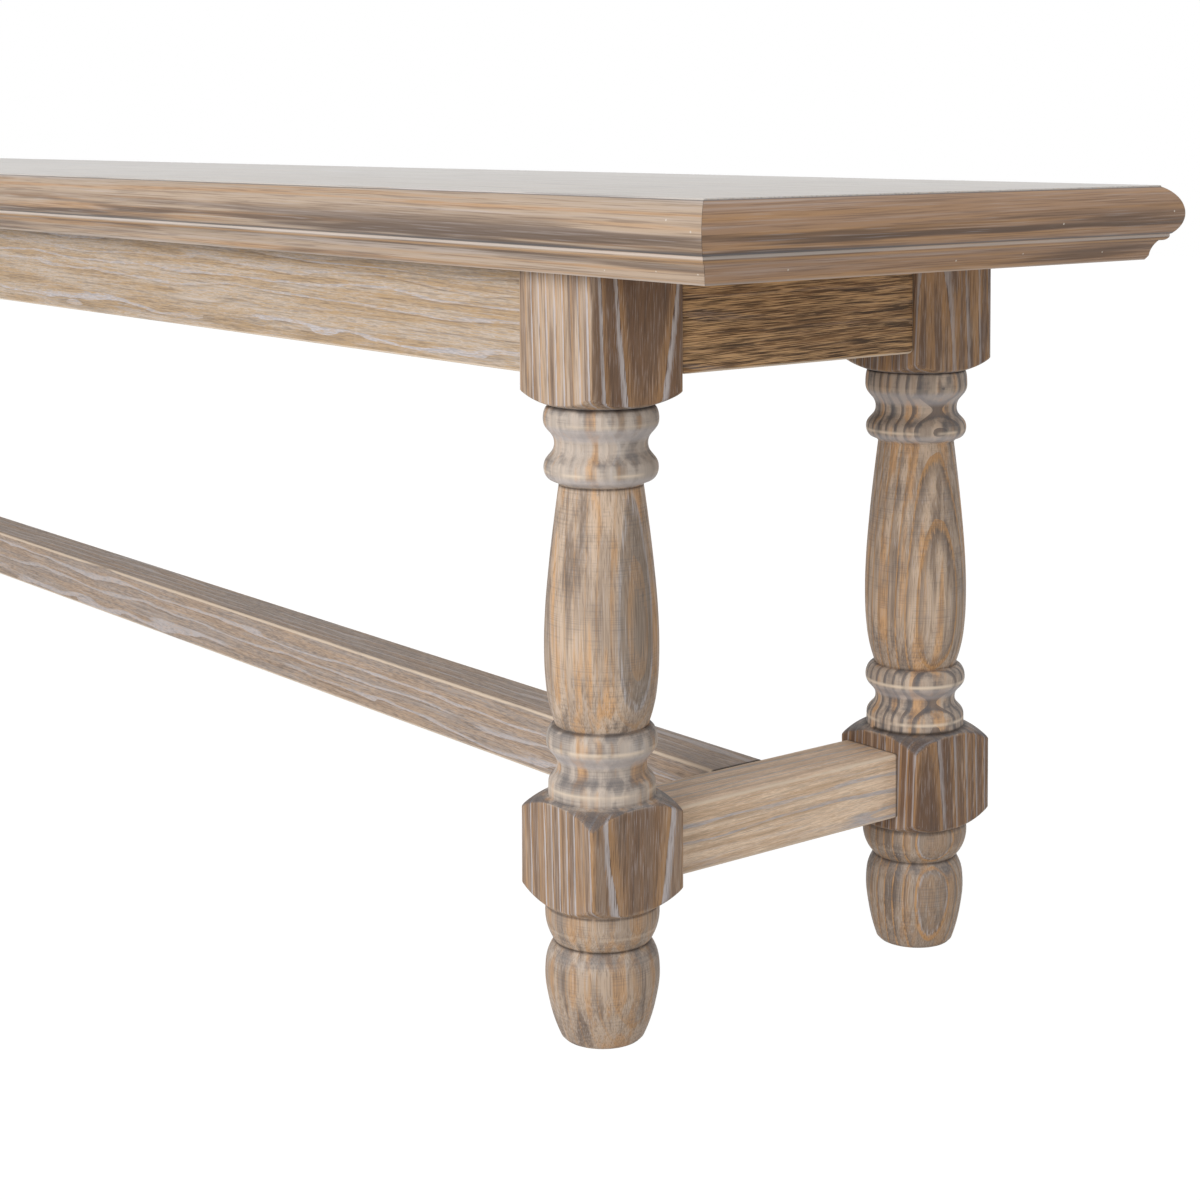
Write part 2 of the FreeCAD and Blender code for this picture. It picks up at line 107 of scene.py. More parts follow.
class BenchSizes(bpy.types.PropertyGroup):
    """Sizes that the pieces need beside the frame's own boxes."""

    nose_rise: length("Nose rise", "From the nose's widest point up to its top", 14.9)
    nose_fall: length("Nose fall", "From the nose's widest point down to the quirk", 11.3)
    nose_return: length("Nose return", "How far the nose comes back in above the quirk", 5.2)
    quirk_step: length("Quirk step", "Width of the little step under the nose", 0.8)
    quirk_drop: length("Quirk drop", "Height of the little step under the nose", 0.4)
    fillet_drop: length("Fillet drop", "Height of the upright fillet under the quirk", 1.3)
    ovolo_reach: length("Ovolo reach", "Width of the ovolo under the fillet", 4.1)
    ovolo_drop: length("Ovolo drop", "Height of the ovolo under the fillet", 2.1)
    ovolo_bulge: length("Ovolo bulge", "How far the ovolo swells off its chord", 0.9)
    cove_reach: length("Cove reach", "Width of the cove", 4.0)
    cove_drop: length("Cove drop", "Height of the cove", 8.8)
    cove_hollow: length("Cove hollow", "How far the cove dips under its chord", 0.8)
    lip_reach: length("Lip reach", "Width of the slope at the foot of the moulding", 1.6)
    moulding_width: length("Moulding width", "Width of the moulding's flat underside", 34.0)
    mitre_gap: length("Mitre gap", "Half the hairline between two mitred mouldings", 0.1)

    foot_height: length("Foot height", "Height of the bun foot", 53.4)
    ankle_bead_height: length("Ankle bead height", "Height of the bead over the foot", 20.4)
    lower_block_height: length("Lower block height", "Height of the square block", 58.7)
    collar_bead_height: length("Collar bead height", "Height of the bead over the block", 12.1)
    lower_cove_height: length("Lower cove height", "Height of the cove under the vase", 8.4)
    lower_bead_height: length("Lower bead height", "Height of the bead under the vase", 17.6)
    neck_fillet_height: length("Neck fillet height", "Height of the slope over the neck", 1.8)
    upper_bead_height: length("Upper bead height", "Height of the bead over the neck", 14.5)
    upper_cove_height: length("Upper cove height", "Height of the cove over that bead", 11.5)
    top_bead_height: length("Top bead height", "Height of the bead under the top block", 14.7)
    upper_block_height: length("Upper block height", "Height of the top block", 72.4)

    sole_cut: length("Sole cut", "Depth of the sole's rim below the stock's face", 10.7)
    sole_chamfer: length("Sole chamfer", "Chamfer round the sole", 1.6)
    foot_belly_cut: length("Foot belly cut", "Depth at the foot's belly", 0.75)
    ankle_groove_cut: length("Ankle groove cut", "Depth at the groove over the foot", 5.85)
    ankle_bead_cut: length("Ankle bead cut", "Depth at the ankle bead's crest", 1.35)
    ankle_end_cut: length("Ankle end cut", "Depth where the ankle meets the block", 1.25)
    collar_end_cut: length("Collar end cut", "Depth where the collar meets the block", 2.55)
    collar_bead_cut: length("Collar bead cut", "Depth at the collar bead's crest", 2.75)
    lower_cove_cut: length("Lower cove cut", "Depth at the middle of the lower cove", 7.5)
    lower_bead_cut: length("Lower bead cut", "Depth at the lower bead's crest", 1.65)
    vase_foot_cut: length("Vase foot cut", "Depth at the foot of the vase", 6.55)
    vase_belly_cut: length("Vase belly cut", "Depth at the vase's belly", 0.75)
    neck_cut: length("Neck cut", "Depth at the vase's neck", 8.95)
    neck_fillet_cut: length("Neck fillet cut", "Depth at the top of the slope over the neck", 7.0)
    upper_bead_cut: length("Upper bead cut", "Depth at the upper bead's crest", 0.85)
    upper_cove_cut: length("Upper cove cut", "Depth at the middle of the upper cove", 6.55)
    top_bead_cut: length("Top bead cut", "Depth at the top bead's crest", 0.55)
    top_end_cut: length("Top end cut", "Depth where the top bead meets the block", 4.2)
    foot_shoulder_height: length("Foot shoulder", "Rise of the shoulder over the foot", 8.4)
    collar_shoulder_height: length("Collar shoulder", "Fall of the shoulder at the collar", 8.8)
    top_shoulder_height: length("Top shoulder", "Rise of the shoulder under the top block", 7.4)
    shoulder_bulge: share("Shoulder bulge", "Rise of a shoulder reached half way out", 0.43)

    leg_arris: length("Leg arris", "Radius of the upright edges of the square blocks", 0.7)
    leg_wear: length("Leg wear", "How far from a block's shoulder edges the wear begins", 1.8)
    corner_wear: length("Corner wear", "How much further the wear begins at the corners", 4.0)
    apron_easing: length("Apron easing", "Radius of an apron's lower edges", 1.2)
    apron_corner: length("Apron corner", "Radius of an end apron's lower corners", 3.5)
    stretcher_easing: length("Stretcher easing", "Radius of a stretcher's long edges", 1.6)
    panel_easing: length("Panel easing", "Radius round the top of the seat", 0.5)
    pin_radius: length("Pin radius", "Radius at the bottom of a filled pin hole", 0.8)
    pin_room: length("Pin room", "How far the mouldings stay inside the bench's box for the pins", 0.02)
    curve_step: length("Curve step", "Longest step along a turned or moulded curve", 1.0)


class BenchColours(bpy.types.PropertyGroup):
    """Colours of the woods, their finish and the small parts."""

    lime: colour("Lime", "Pale wax left in the open grain", "#C2BCBD")
    pine: colour("Pine", "Soft summer wood between the lines", "#C7B09A")
    pine_line: colour("Pine line", "Hard orange winter wood", "#B98F62")
    pine_dark: colour("Pine dark", "The darkest edge of a ring", "#54443A")
    heart: colour("Heart", "Glazed wood near the heart of the log", "#877A6E")
    heart_brown: colour("Heart brown", "Sawn wood near the heart of the log", "#6E533F")
    glaze: colour("Glaze", "Slate glaze that stays in hollows", "#5C5B5E")
    # Dark lines at the turned joints and at the boards' ends, partly dark joints and partly painted
    # shade where parts meet
    joint: colour("Joint", "Dark line in the turned joints", "#3A2F28")
    turned: colour("Turned", "Ground of the turned parts", "#C6AF99")
    turned_orange: colour("Turned orange", "Broad orange stripes of the turned parts", "#C99E72")
    turned_brown: colour("Turned brown", "Browner patches of the turned parts", "#AA9684")
    turned_grey: colour("Turned grey", "Grey wash over beads and coves", "#C2B7AD")
    worn: colour("Worn", "Pale wood where edges are rubbed through", "#E2D0BB")
    oak: colour("Oak", "Ground of the long aprons", "#C2B1A0")
    oak_brown: colour("Oak brown", "Ground of the end aprons", "#8F6D4A")
    oak_gold: colour("Oak gold", "Golden figure in the long aprons", "#AE8F68")
    end_gold: colour("End gold", "Golden figure in the end aprons", "#D2AA7C")
    oak_pore: colour("Oak pore", "Short dark pores", "#3A2B1E")
    # The centre stretcher's grey is partly the wood and partly a painted reflection of the white
    # surroundings
    stretcher: colour("Stretcher", "Ground of the centre stretcher", "#A2958C")
    # The end stretchers' tan is painted paler than the wood, as painted bounce light from the floor
    stretcher_tan: colour("Stretcher tan", "Ground of the end stretchers", "#F2D9BF")
    stretcher_gold: colour("Stretcher gold", "Golden figure in the stretchers", "#C09F7E")
    moulding: colour("Moulding", "Ground of the long mouldings", "#B29D89")
    moulding_brown: colour("Moulding brown", "Ground of the end mouldings", "#A6866C")
    moulding_gold: colour("Moulding gold", "Orange streaks along the moulded edge", "#B48C64")
    moulding_streak: colour("Moulding streak", "Dark streaks along the moulded edge", "#5F4E43")
    # Pale line on the fillet and the lip: partly lime and wear, partly a painted highlight
    ledge: colour("Ledge", "Lime on the fillet and the lip", "#CDC4BD")
    # The seat's pale grey is partly the wood and partly a painted reflection of the white surroundings
    seat: colour("Seat", "Ground of the seat's top", "#BFB8B0")
    bare_pine: colour("Bare pine", "Unfinished wood under the seat", "#CDAF82")
    bare_line: colour("Bare line", "Rings of the unfinished wood", "#A9814F")
    beech: colour("Beech", "Dowels", "#CFB189")
    filler: colour("Filler", "Filled pin holes", "#CFC4B6")
    zinc: colour("Zinc", "Plated screws", "#B9BBBE")
    floor: colour("Floor", "Studio floor", "#ECEBE9")


class BenchStage(bpy.types.PropertyGroup):
    """The camera, the lamp and the floor."""

    camera_place: bpy.props.FloatVectorProperty(
        name="Camera place", description="Where the camera stands",
        default=(1.7205, -0.8745, 0.4917), subtype="XYZ", unit="LENGTH",
    )
    camera_turn: bpy.props.FloatVectorProperty(
        name="Camera turn", description="Tilt, roll and heading of the camera",
        default=[math.radians(degrees) for degrees in (87.124, 0.165, 51.753)], subtype="EULER",
        unit="ROTATION",
    )
    lens: bpy.props.FloatProperty(
        name="Lens", description="Focal length of the camera", default=68.73, unit="CAMERA"
    )
    sensor: bpy.props.FloatProperty(
        name="Sensor", description="Width of the camera's sensor", default=36.0, unit="CAMERA"
    )
    shift: bpy.props.FloatProperty(
        name="Shift", description="How far the lens is shifted upright", default=-0.3
    )
    sky: bpy.props.FloatProperty(
        name="Sky", description="Level of the soft light from all round", default=0.52
    )
    key_power: bpy.props.FloatProperty(
        name="Key power", description="Power of the soft lamp on the left", default=150.0,
        unit="POWER",
    )
    key_size: length("Key size", "Side of the soft lamp", 2600.0)
    key_place: bpy.props.FloatVectorProperty(
        name="Key place", description="Where the soft lamp stands",
        default=(1.9, -4.1, 2.2), subtype="XYZ", unit="LENGTH",
    )
    floor_size: length("Floor size", "Side of the square floor", 12000.0)
    floor_glow: share("Floor glow", "Strength of the white that the camera sees on the floor", 1.09)
    floor_glow_share: share("Floor glow share", "How much that white covers the floor's shade", 0.9)


# Nodes

def add(tree, kind, inputs, output=0, **settings):
    """Adds a node with its settings, sets or links its inputs and gives one of its outputs."""
    node = tree.nodes.new("ShaderNode" + kind)
    stops = settings.pop("stops", [])
    for setting, value in settings.items():
        setattr(node, setting, value)
    sockets = [socket for socket in node.inputs if socket.enabled]
    for key, given in inputs.items():
        found = [socket for index, socket in enumerate(sockets) if key in (index, socket.name)]
        if isinstance(given, bpy.types.NodeSocket):
            tree.links.new(given, found[0])
        else:
            found[0].default_value = given
    for index, (place, stop_colour) in enumerate(stops):
        ramp = node.color_ramp.elements
        stop = ramp[index] if index < 2 else ramp.new(place)
        stop.position = place
        stop.color = stop_colour
    outputs = [socket for socket in node.outputs if socket.enabled]
    return next((socket for index, socket in enumerate(outputs) if output in (index, socket.name)), None)


def opaque(rgb):
    return (rgb[0], rgb[1], rgb[2], 1.0)


def new_material(name):
    material = bpy.data.materials.new(name)
    material.use_nodes = True
    material.node_tree.nodes.clear()
    return material, material.node_tree


def finished(tree, base, grain, relief, rough, smooth, coat=0.0, shine=0.25):
    """The wood's surface: its colour, the relief of its grain, and its gloss from low to high."""
    bump = add(tree, "Bump", {"Height": grain, "Strength": 1.0, "Distance": relief})
    gloss = add(tree, "MapRange", {
        "Value": grain, "From Min": 0.3, "From Max": 0.7, "To Min": rough, "To Max": smooth,
    })
    surface = add(tree, "BsdfPrincipled", {
        "Base Color": base, "Roughness": gloss, "Normal": bump, "IOR": 1.5,
        "Specular IOR Level": shine, "Coat Weight": coat, "Coat Roughness": 0.3,
    })
    add(tree, "OutputMaterial", {"Surface": surface})


def layered(tree, wood, *layers):
    """Lays colours over the wood, one after another.

    Each layer is its colour, its share where it is thickest, and its limits: a value, the level
    where the wood is bare and the level where it is covered.
    """
    for top, most, *limits in layers:
        cover = most
        for value, bare, covered in limits:
            cover = add(tree, "MapRange", {
                "Value": value, "From Min": bare, "From Max": covered, "To Max": cover,
            }, interpolation_type="SMOOTHSTEP")
        wood = add(tree, "Mix", {"Factor": cover, "A": wood, "B": opaque(top)}, data_type="RGBA")
    return wood


def log_points(tree, pith, grain, tilt):
    """Points of the piece as they lay in the log: the pith in the middle, the grain up.

    They are squeezed along the grain, so that what is cut from them is drawn out.
    """
    turn = [math.radians(base + extra) for base, extra in zip(grain_turns[grain], tilt)]
    place = add(tree, "TexCoord", {}, output="Object")
    return add(tree, "Mapping", {
        "Vector": place, "Location": pith, "Rotation": turn, "Scale": (1, 1, grain_reach),
    }, vector_type="TEXTURE")


def year_rings(tree, points, spacing, wobble, reach):
    """How far each point lies from the pith, how far through its year it grew, and a chance
    number for that year."""
    drift = add(tree, "TexNoise", {"Vector": points, "Scale": 1 / reach, "Detail": 2.0}, output="Color")
    centred = add(tree, "VectorMath", {0: drift, 1: (0.5, 0.5, 0.5)}, operation="SUBTRACT")
    swung = add(tree, "VectorMath", {0: centred, "Scale": 2 * wobble}, operation="SCALE")
    moved = add(tree, "VectorMath", {0: points, 1: swung}, operation="ADD")
    flat = add(tree, "VectorMath", {0: moved, 1: (1, 1, 0)}, operation="MULTIPLY")
    radius = add(tree, "VectorMath", {0: flat}, output="Value", operation="LENGTH")
    years = add(tree, "Math", {0: radius, 1: spacing}, operation="DIVIDE")
    grown = add(tree, "Math", {0: years}, operation="FRACT")
    year = add(tree, "Math", {0: years}, operation="FLOOR")
    chance = add(tree, "TexWhiteNoise", {"W": year}, output="Value", noise_dimensions="1D")
    return radius, grown, chance


def streaks(tree, points, width, stretch, detail=2.0):
    """Chance streaks of a width across the grain, drawn out along it by a further stretch."""
    squeezed = add(tree, "VectorMath", {0: points, 1: (1, 1, 1 / stretch)}, operation="MULTIPLY")
    return add(tree, "TexNoise", {"Vector": squeezed, "Scale": 1 / width, "Detail": detail})


def height_above_floor(tree):
    return add(tree, "SeparateXYZ", {"Vector": add(tree, "TexCoord", {}, output="Object")}, output="Z")


def by_height(tree, low, high, stops):
    """A value that follows the height above the floor, from stops of height and value."""
    part = add(tree, "MapRange", {"Value": height_above_floor(tree), "From Min": low, "From Max": high})
    spread = [
        ((stop - low) / (high - low), (value, value, value, 1.0)) for stop, value in sorted(stops)
    ]
    return add(tree, "ValToRGB", {"Fac": part}, stops=spread)


def flatness(tree):
    """One on the planes of a squared board, and less where its arrises turn between them."""
    normal = add(tree, "NewGeometry", {}, output="True Normal")
    size = add(tree, "VectorMath", {0: normal}, operation="ABSOLUTE")
    parts = [add(tree, "SeparateXYZ", {"Vector": size}, output=axis) for axis in "XYZ"]
    flatter = add(tree, "Math", {0: parts[0], 1: parts[1]}, operation="MAXIMUM")
    return add(tree, "Math", {0: flatter, 1: parts[2]}, operation="MAXIMUM")


# Woods

def leg_parts(sizes):
    """The heights of the joints between a leg's turned parts, from the floor up."""
    heights = {"foot": sizes.foot_height}
    heights["ankle"] = heights["foot"] + sizes.ankle_bead_height
    heights["lower_block"] = heights["ankle"] + sizes.lower_block_height
    heights["collar"] = heights["lower_block"] + sizes.collar_bead_height
    heights["lower_cove"] = heights["collar"] + sizes.lower_cove_height
    heights["vase_foot"] = heights["lower_cove"] + sizes.lower_bead_height
    heights["upper_block"] = leg_height - sizes.upper_block_height
    heights["upper_cove"] = heights["upper_block"] - sizes.top_bead_height
    heights["upper_bead"] = heights["upper_cove"] - sizes.upper_cove_height
    heights["neck_edge"] = heights["upper_bead"] - sizes.upper_bead_height
    heights["neck"] = heights["neck_edge"] - sizes.neck_fillet_height
    return heights


def crest_stops(parts):
    """Stops for the rubbed crests of the beads: one a little under half way up each."""
    stops = []
    beads = (
        ("foot", "ankle", 0.35), ("lower_block", "collar", 0.9), ("lower_cove", "vase_foot", 1.0),
        ("neck_edge", "upper_bead", 0.8), ("upper_cove", "upper_block", 0.45),
    )
    half_width = 1.8 * mm
    for low, high, rubbed in beads:
        crest = parts[low] + (parts[high] - parts[low]) * 0.4
        stops += [(crest - half_width, 0.0), (crest, rubbed), (crest + half_width, 0.0)]
    return stops


def limed_pine(name, sizes, colours, pith, tilt, heart, figure):
    """Sawn and turned pine, brushed, limed and glazed.

    On the sawn blocks lime fills the soft wood of each year, so thin pale bands stand between
    tan ones. On the turned parts the hard wood shows as orange stripes and lines, a grey wash
    covers the beads, slate glaze stays on what faces up, and the wood near the heart is darker.
    Dark lines lie in the joints, partly dark joints and partly painted shade under the parts
    that overhang them. The faces of the beads that look down are painted paler, as painted
    light. The arrises and crests are rubbed back to pale wood. The figure is how strongly the
    rings show through the wash. The fibres and the marks of the lathe are drawn several times
    as wide as they are, so that they show.
    """
    material, tree = new_material(name)
    parts = leg_parts(sizes)
    points = log_points(tree, pith, "z", tilt)
    height = height_above_floor(tree)
    radius, grown, chance = year_rings(tree, points, 6.0 * mm, 1.8 * mm, 20 * mm)
    fibre = streaks(tree, points, 0.6 * mm, 6.0, 3.0)
    band = streaks(tree, points, 2.2 * mm, 6.0, 2.0)
    stripe = streaks(tree, points, 8 * mm, 2.0, 2.0)
    patch = streaks(tree, points, 15 * mm, 0.5, 3.0)
    stain = streaks(tree, points, 8 * mm, 0.25, 3.0)
    ragged = add(tree, "Math", {0: fibre, 1: 0.45, 2: grown}, operation="MULTIPLY_ADD")

    ankle, block_top, top_joint = parts["ankle"], parts["lower_block"], parts["upper_block"]
    sawn = layered(
        tree, opaque(colours.pine),
        (colours.heart_brown, 0.95 * figure, (patch, 0.25, 0.5)),
        (colours.pine_line, 0.6, (stripe, 0.52, 0.60)),
        (colours.heart_brown, 0.6, (stripe, 0.48, 0.38)),
        (colours.heart_brown, 0.9, (radius, heart + 7 * mm, heart - 5 * mm)),
        (colours.heart_brown, 0.5, (height, block_top + mm, block_top)),
        (colours.pine_dark, 0.45, (band, 0.46, 0.37)),
        (colours.pine_line, 0.5, (ragged, 0.90, 1.15)),
        (colours.pine_dark, 0.6, (ragged, 0.30, 0.20), (patch, 0.40, 0.55)),
        (
            colours.lime, 0.9 - 0.45 * figure, (ragged, 0.21, 0.27), (ragged, 0.48, 0.37),
            (chance, 0.0, 0.6),
        ),
    )
    rim = heart - 0.2 * mm
    turned = layered(
        tree, opaque(colours.turned),
        (colours.turned_brown, 0.9, (patch, 0.42, 0.58)),
        (colours.turned_orange, 0.85, (stripe, 0.50, 0.60), (patch, 0.66, 0.50)),
        (colours.heart, 0.22 + 0.3 * figure, (height, ankle + mm, ankle)),
        (colours.pine_dark, 0.5, (stripe, 0.44, 0.34)),
        (colours.pine_dark, 0.2, (band, 0.46, 0.37)),
        (colours.pine_dark, 0.5 * figure, (ragged, 0.74, 1.04), (chance, -0.2, 0.6)),
        (colours.heart, 0.95 * (1 - 0.7 * figure), (radius, heart + 0.6 * mm, heart)),
        (
            colours.lime, 0.6, (radius, rim - 0.8 * mm, rim), (radius, heart + mm, rim),
            (band, 0.40, 0.55),
        ),
        (colours.pine_line, 0.2 + 0.75 * figure, (ragged, 1.03, 1.12)),
    )
    on_block = by_height(tree, 0.0, leg_height, [
        (ankle, 0.0), (ankle + 2 * mm, 1.0), (block_top - 3 * mm, 1.0), (block_top - mm, 0.0),
        (top_joint, 0.0), (top_joint + 2 * mm, 1.0),
    ])
    wash = by_height(tree, 0.0, leg_height, [
        (parts["foot"] - 14 * mm, 0.1), (parts["foot"] - 5 * mm, 0.6), (parts["foot"], 0.2),
        (ankle, 0.2), (ankle + 2 * mm, 0.0), (block_top - 3 * mm, 0.0), (block_top, 1.0),
        (parts["vase_foot"] - mm, 1.0), (parts["vase_foot"] + mm, 0.15), (parts["neck"], 0.15),
        (parts["neck"] + 2 * mm, 1.0), (top_joint, 1.0), (top_joint + 2 * mm, 0.0),
    ])
    crest = by_height(tree, 0.0, leg_height, crest_stops(parts))
    lathe = add(
        tree, "TexNoise", {"W": height, "Scale": 1 / (1.1 * mm), "Detail": 1.0}, noise_dimensions="1D"
    )
    normal = add(tree, "NewGeometry", {}, output="True Normal")
    slope = add(tree, "SeparateXYZ", {"Vector": normal}, output="Z")
    keen = add(tree, "NewGeometry", {}, output="Pointiness")
    # How far each dark line reaches down from its joint, in millimetres. The lines are partly dark
    # joints and partly painted shade, and the longest lie in the painted shade under the blocks.
    joints = {
        "foot": 1.0, "ankle": 2.4, "lower_block": 0.9, "vase_foot": 0.9, "neck": 0.9,
        "upper_block": 1.6,
    }
    lines = [
        by_height(tree, 0.0, leg_height, [
            (parts[joint] - below * mm, 0.0), (parts[joint], 1.0), (parts[joint] + 0.8 * mm, 0.0),
        ])
        for joint, below in joints.items()
    ]
    wood = layered(
        tree, add(tree, "Mix", {"Factor": on_block, "A": turned, "B": sawn}, data_type="RGBA"),
        (colours.turned_grey, 0.8 * (1 - 0.7 * figure), (wash, 0.1, 1.0), (stripe, 0.68, 0.50)),
        (colours.glaze, 0.25 + 0.45 * figure, (stain, 0.50, 0.66), (wash, -0.3, 0.9)),
        (colours.glaze, 0.8 * figure, (ragged, 0.82, 1.04), (wash, 0.3, 1.0)),
        (colours.pine_dark, 0.35, (fibre, 0.48, 0.36), (wash, 1.5, 0.2)),
        (colours.lime, 0.3, (fibre, 0.55, 0.68), (wash, 1.3, 0.2)),
        (colours.glaze, 0.22, (lathe, 0.45, 0.62), (on_block, 0.5, 0.0), (stain, 0.40, 0.60)),
        # Painted light: the faces of the beads that look down are painted paler
        (colours.lime, 0.5, (slope, -0.15, -0.6), (wash, 0.4, 0.9)),
        (colours.glaze, 0.5, (slope, 0.15, 0.6), (stain, 0.38, 0.60)),
        (colours.glaze, 0.5, (slope, 0.4, 0.7), (on_block, 0.0, 0.2)),
        # Dark joint lines, partly painted shade under the parts that overhang them
        *((colours.joint, 0.85, (line, 0.1, 0.9), (stain, 0.25, 0.42)) for line in lines),
        (colours.worn, 0.9, (crest, 0.0, 1.0), (patch, 0.35, 0.55)),
        (colours.worn, 0.6, (keen, 0.56, 0.62), (band, 0.40, 0.58), (on_block, 0.0, 0.5)),
    )
    finished(tree, wood, fibre, 0.25 * mm, 0.62, 0.40)
    return material


def limed_oak(name, colours, ground, gold, grain, pith, tilt, shares, end):
    """Flat-sawn oak, limed and sealed.

    Thin wavy lines of lime follow the open rings, and dark pores fleck the golden wood. Each of
    its ends is dark where it meets a leg, partly a dark joint and partly painted shade. The
    shares are how much gold, lime and dark pores it has, and how far its pores are drawn out.
    The pores are drawn about twice as wide as they are, so that they show.
    """
    gold_share, lime_share, pore_share, pore_reach = shares
    material, tree = new_material(name)
    points = log_points(tree, pith, grain, tilt)
    _, grown, chance = year_rings(tree, points, 5.0 * mm, 5.0 * mm, 16 * mm)
    tone = streaks(tree, points, 5 * mm, 3.0, 4.0)
    patch = streaks(tree, points, 22 * mm, 0.8, 3.0)
    pore = streaks(tree, points, 0.45 * mm, pore_reach, 3.0)
    soft = streaks(tree, points, 1.2 * mm, 5.0, 3.0)
    ragged = add(tree, "Math", {0: pore, 1: 0.22, 2: grown}, operation="MULTIPLY_ADD")
    place = add(tree, "TexCoord", {}, output="Object")
    along = add(tree, "SeparateXYZ", {"Vector": place}, output=grain.upper())
    away = add(tree, "Math", {0: along}, operation="ABSOLUTE")
    wood = layered(
        tree, opaque(ground),
        (gold, gold_share, (tone, 0.42, 0.60)),
        (colours.oak_pore, 0.8 * pore_share, (soft, 0.49, 0.36)),
        (
            colours.lime, lime_share, (ragged, 0.34, 0.25), (ragged, 0.05, 0.11),
            (patch, 0.33, 0.48), (chance, 0.0, 0.5),
        ),
        (colours.oak_pore, 0.8 * pore_share, (ragged, 0.90, 1.02), (patch, 0.60, 0.45)),
        (colours.lime, 0.4 * lime_share, (soft, 0.55, 0.68)),
        (colours.oak_pore, pore_share, (pore, 0.50, 0.41), (tone, 0.25, 0.45)),
        (gold, 1.2 * gold_share, (pore, 0.53, 0.61)),
        (colours.worn, 0.9, (flatness(tree), 0.999, 0.97), (tone, 0.34, 0.46)),
        # Ends dark where they meet a leg: partly a dark joint, partly painted shade
        (colours.joint, 0.85, (away, end - 2.2 * mm, end - 0.3 * mm)),
    )
    finished(tree, wood, pore, 0.2 * mm, 0.6, 0.45)
    return material


def glazed_pine(name, sizes, colours, ground, grain, pith, tilt):
    """Moulded pine, glazed with the grain and rubbed back.

    The glaze lies in long dark streaks low on the nose and in the quirk. Lime stays on the fillet
    and the lip is rubbed pale, and these pale lines are also a painted highlight. The fibres are
    drawn several times as wide as they are.
    """
    material, tree = new_material(name)
    points = log_points(tree, pith, grain, tilt)
    low, top = moulding_low.z, moulding_high.z
    tip = top - sizes.nose_rise
    quirk = tip - sizes.nose_fall
    fillet = quirk - sizes.quirk_drop - sizes.fillet_drop
    streak = streaks(tree, points, 4.0 * mm, 12.0, 1.0)
    drawn = streaks(tree, points, 6 * mm, 5.0, 2.0)
    fibre = streaks(tree, points, 0.8 * mm, 8.0, 3.0)
    nose, under_fillet, ledges_and_highlight, hollows = (by_height(tree, low, bench_top, stops) for stops in (
        [
            (low, 0.7), (fillet, 0.7), (quirk, 1.0), (quirk + 6 * mm, 0.9), (tip, 0.65),
            (tip + 6 * mm, 0.2), (top, 0.15),
        ],
        [(fillet - 2.6 * mm, 0.0), (fillet - 1.2 * mm, 1.0), (fillet - 0.3 * mm, 0.0)],
        [
            (low, 0.7), (low + 1.6 * mm, 0.0), (fillet - 0.4 * mm, 0.0), (fillet + 0.2 * mm, 1.0),
            (quirk - 0.5 * mm, 1.0), (quirk, 0.0),
        ],
        [
            (quirk - 0.3 * mm, 0.0), (quirk + 0.2 * mm, 1.0), (quirk + 1.4 * mm, 0.0),
            (top - 0.7 * mm, 0.0), (top, 1.0),
        ],
    ))
    wood = layered(
        tree, opaque(ground),
        (colours.moulding_gold, 0.7, (streak, 0.48, 0.64)),
        (colours.lime, 0.3, (streak, 0.44, 0.28)),
        (colours.moulding_streak, 0.9, (drawn, 0.45, 0.60), (nose, 0.0, 1.0)),
        (colours.moulding_streak, 0.4, (fibre, 0.49, 0.36)),
        (colours.lime, 0.2, (fibre, 0.56, 0.68)),
        (colours.pine_line, 0.7, (under_fillet, 0.0, 1.0)),
        # Pale fillet and lip: partly lime and wear, partly a painted highlight
        (colours.ledge, 0.65, (ledges_and_highlight, 0.0, 1.0)),
        (colours.glaze, 0.9, (hollows, 0.0, 1.0)),
    )
    finished(tree, wood, fibre, 0.12 * mm, 0.55, 0.4)
    return material


def limed_seat(name, colours, pith, tilt):
    """Planed pine seat, limed, glazed and sealed to a soft sheen.

    Broad pale rings run along it under a fine grey grain, drawn coarser than it is.
    """
    material, tree = new_material(name)
    points = log_points(tree, pith, "x", tilt)
    _, grown, _ = year_rings(tree, points, 7.0 * mm, 8.0 * mm, 80 * mm)
    tone = streaks(tree, points, 14 * mm, 3.0, 4.0)
    fibre = streaks(tree, points, 1.2 * mm, 8.0, 3.0)
    # The seat's ground is partly a painted reflection of the white surroundings, paler than the wood
    wood = layered(
        tree, opaque(colours.seat),
        (colours.pine_line, 0.4, (grown, 0.8, 1.0), (tone, 0.4, 0.6)),
        (colours.lime, 0.6, (grown, 0.35, 0.1), (tone, 0.65, 0.4)),
        (colours.glaze, 0.45, (fibre, 0.50, 0.32)),
    )
    finished(tree, wood, fibre, 0.05 * mm, 0.42, 0.30, 0.3, 0.5)
    return material


def bare_pine(name, colours, grain, pith):
    """Planed pine with no finish, pale with plain orange rings and coarsely drawn fibres."""
    material, tree = new_material(name)
    points = log_points(tree, pith, grain, (1.5, 1.0, 0))
    _, grown, _ = year_rings(tree, points, 5.0 * mm, 4.0 * mm, 60 * mm)
    fibre = streaks(tree, points, 1.0 * mm, 5.0)
    wood = layered(
        tree, opaque(colours.bare_pine),
        (colours.bare_line, 0.9, (grown, 0.65, 1.0)),
        (colours.bare_line, 0.4, (fibre, 0.50, 0.32)),
    )
    finished(tree, wood, fibre, 0.1 * mm, 0.75, 0.65)
    return material


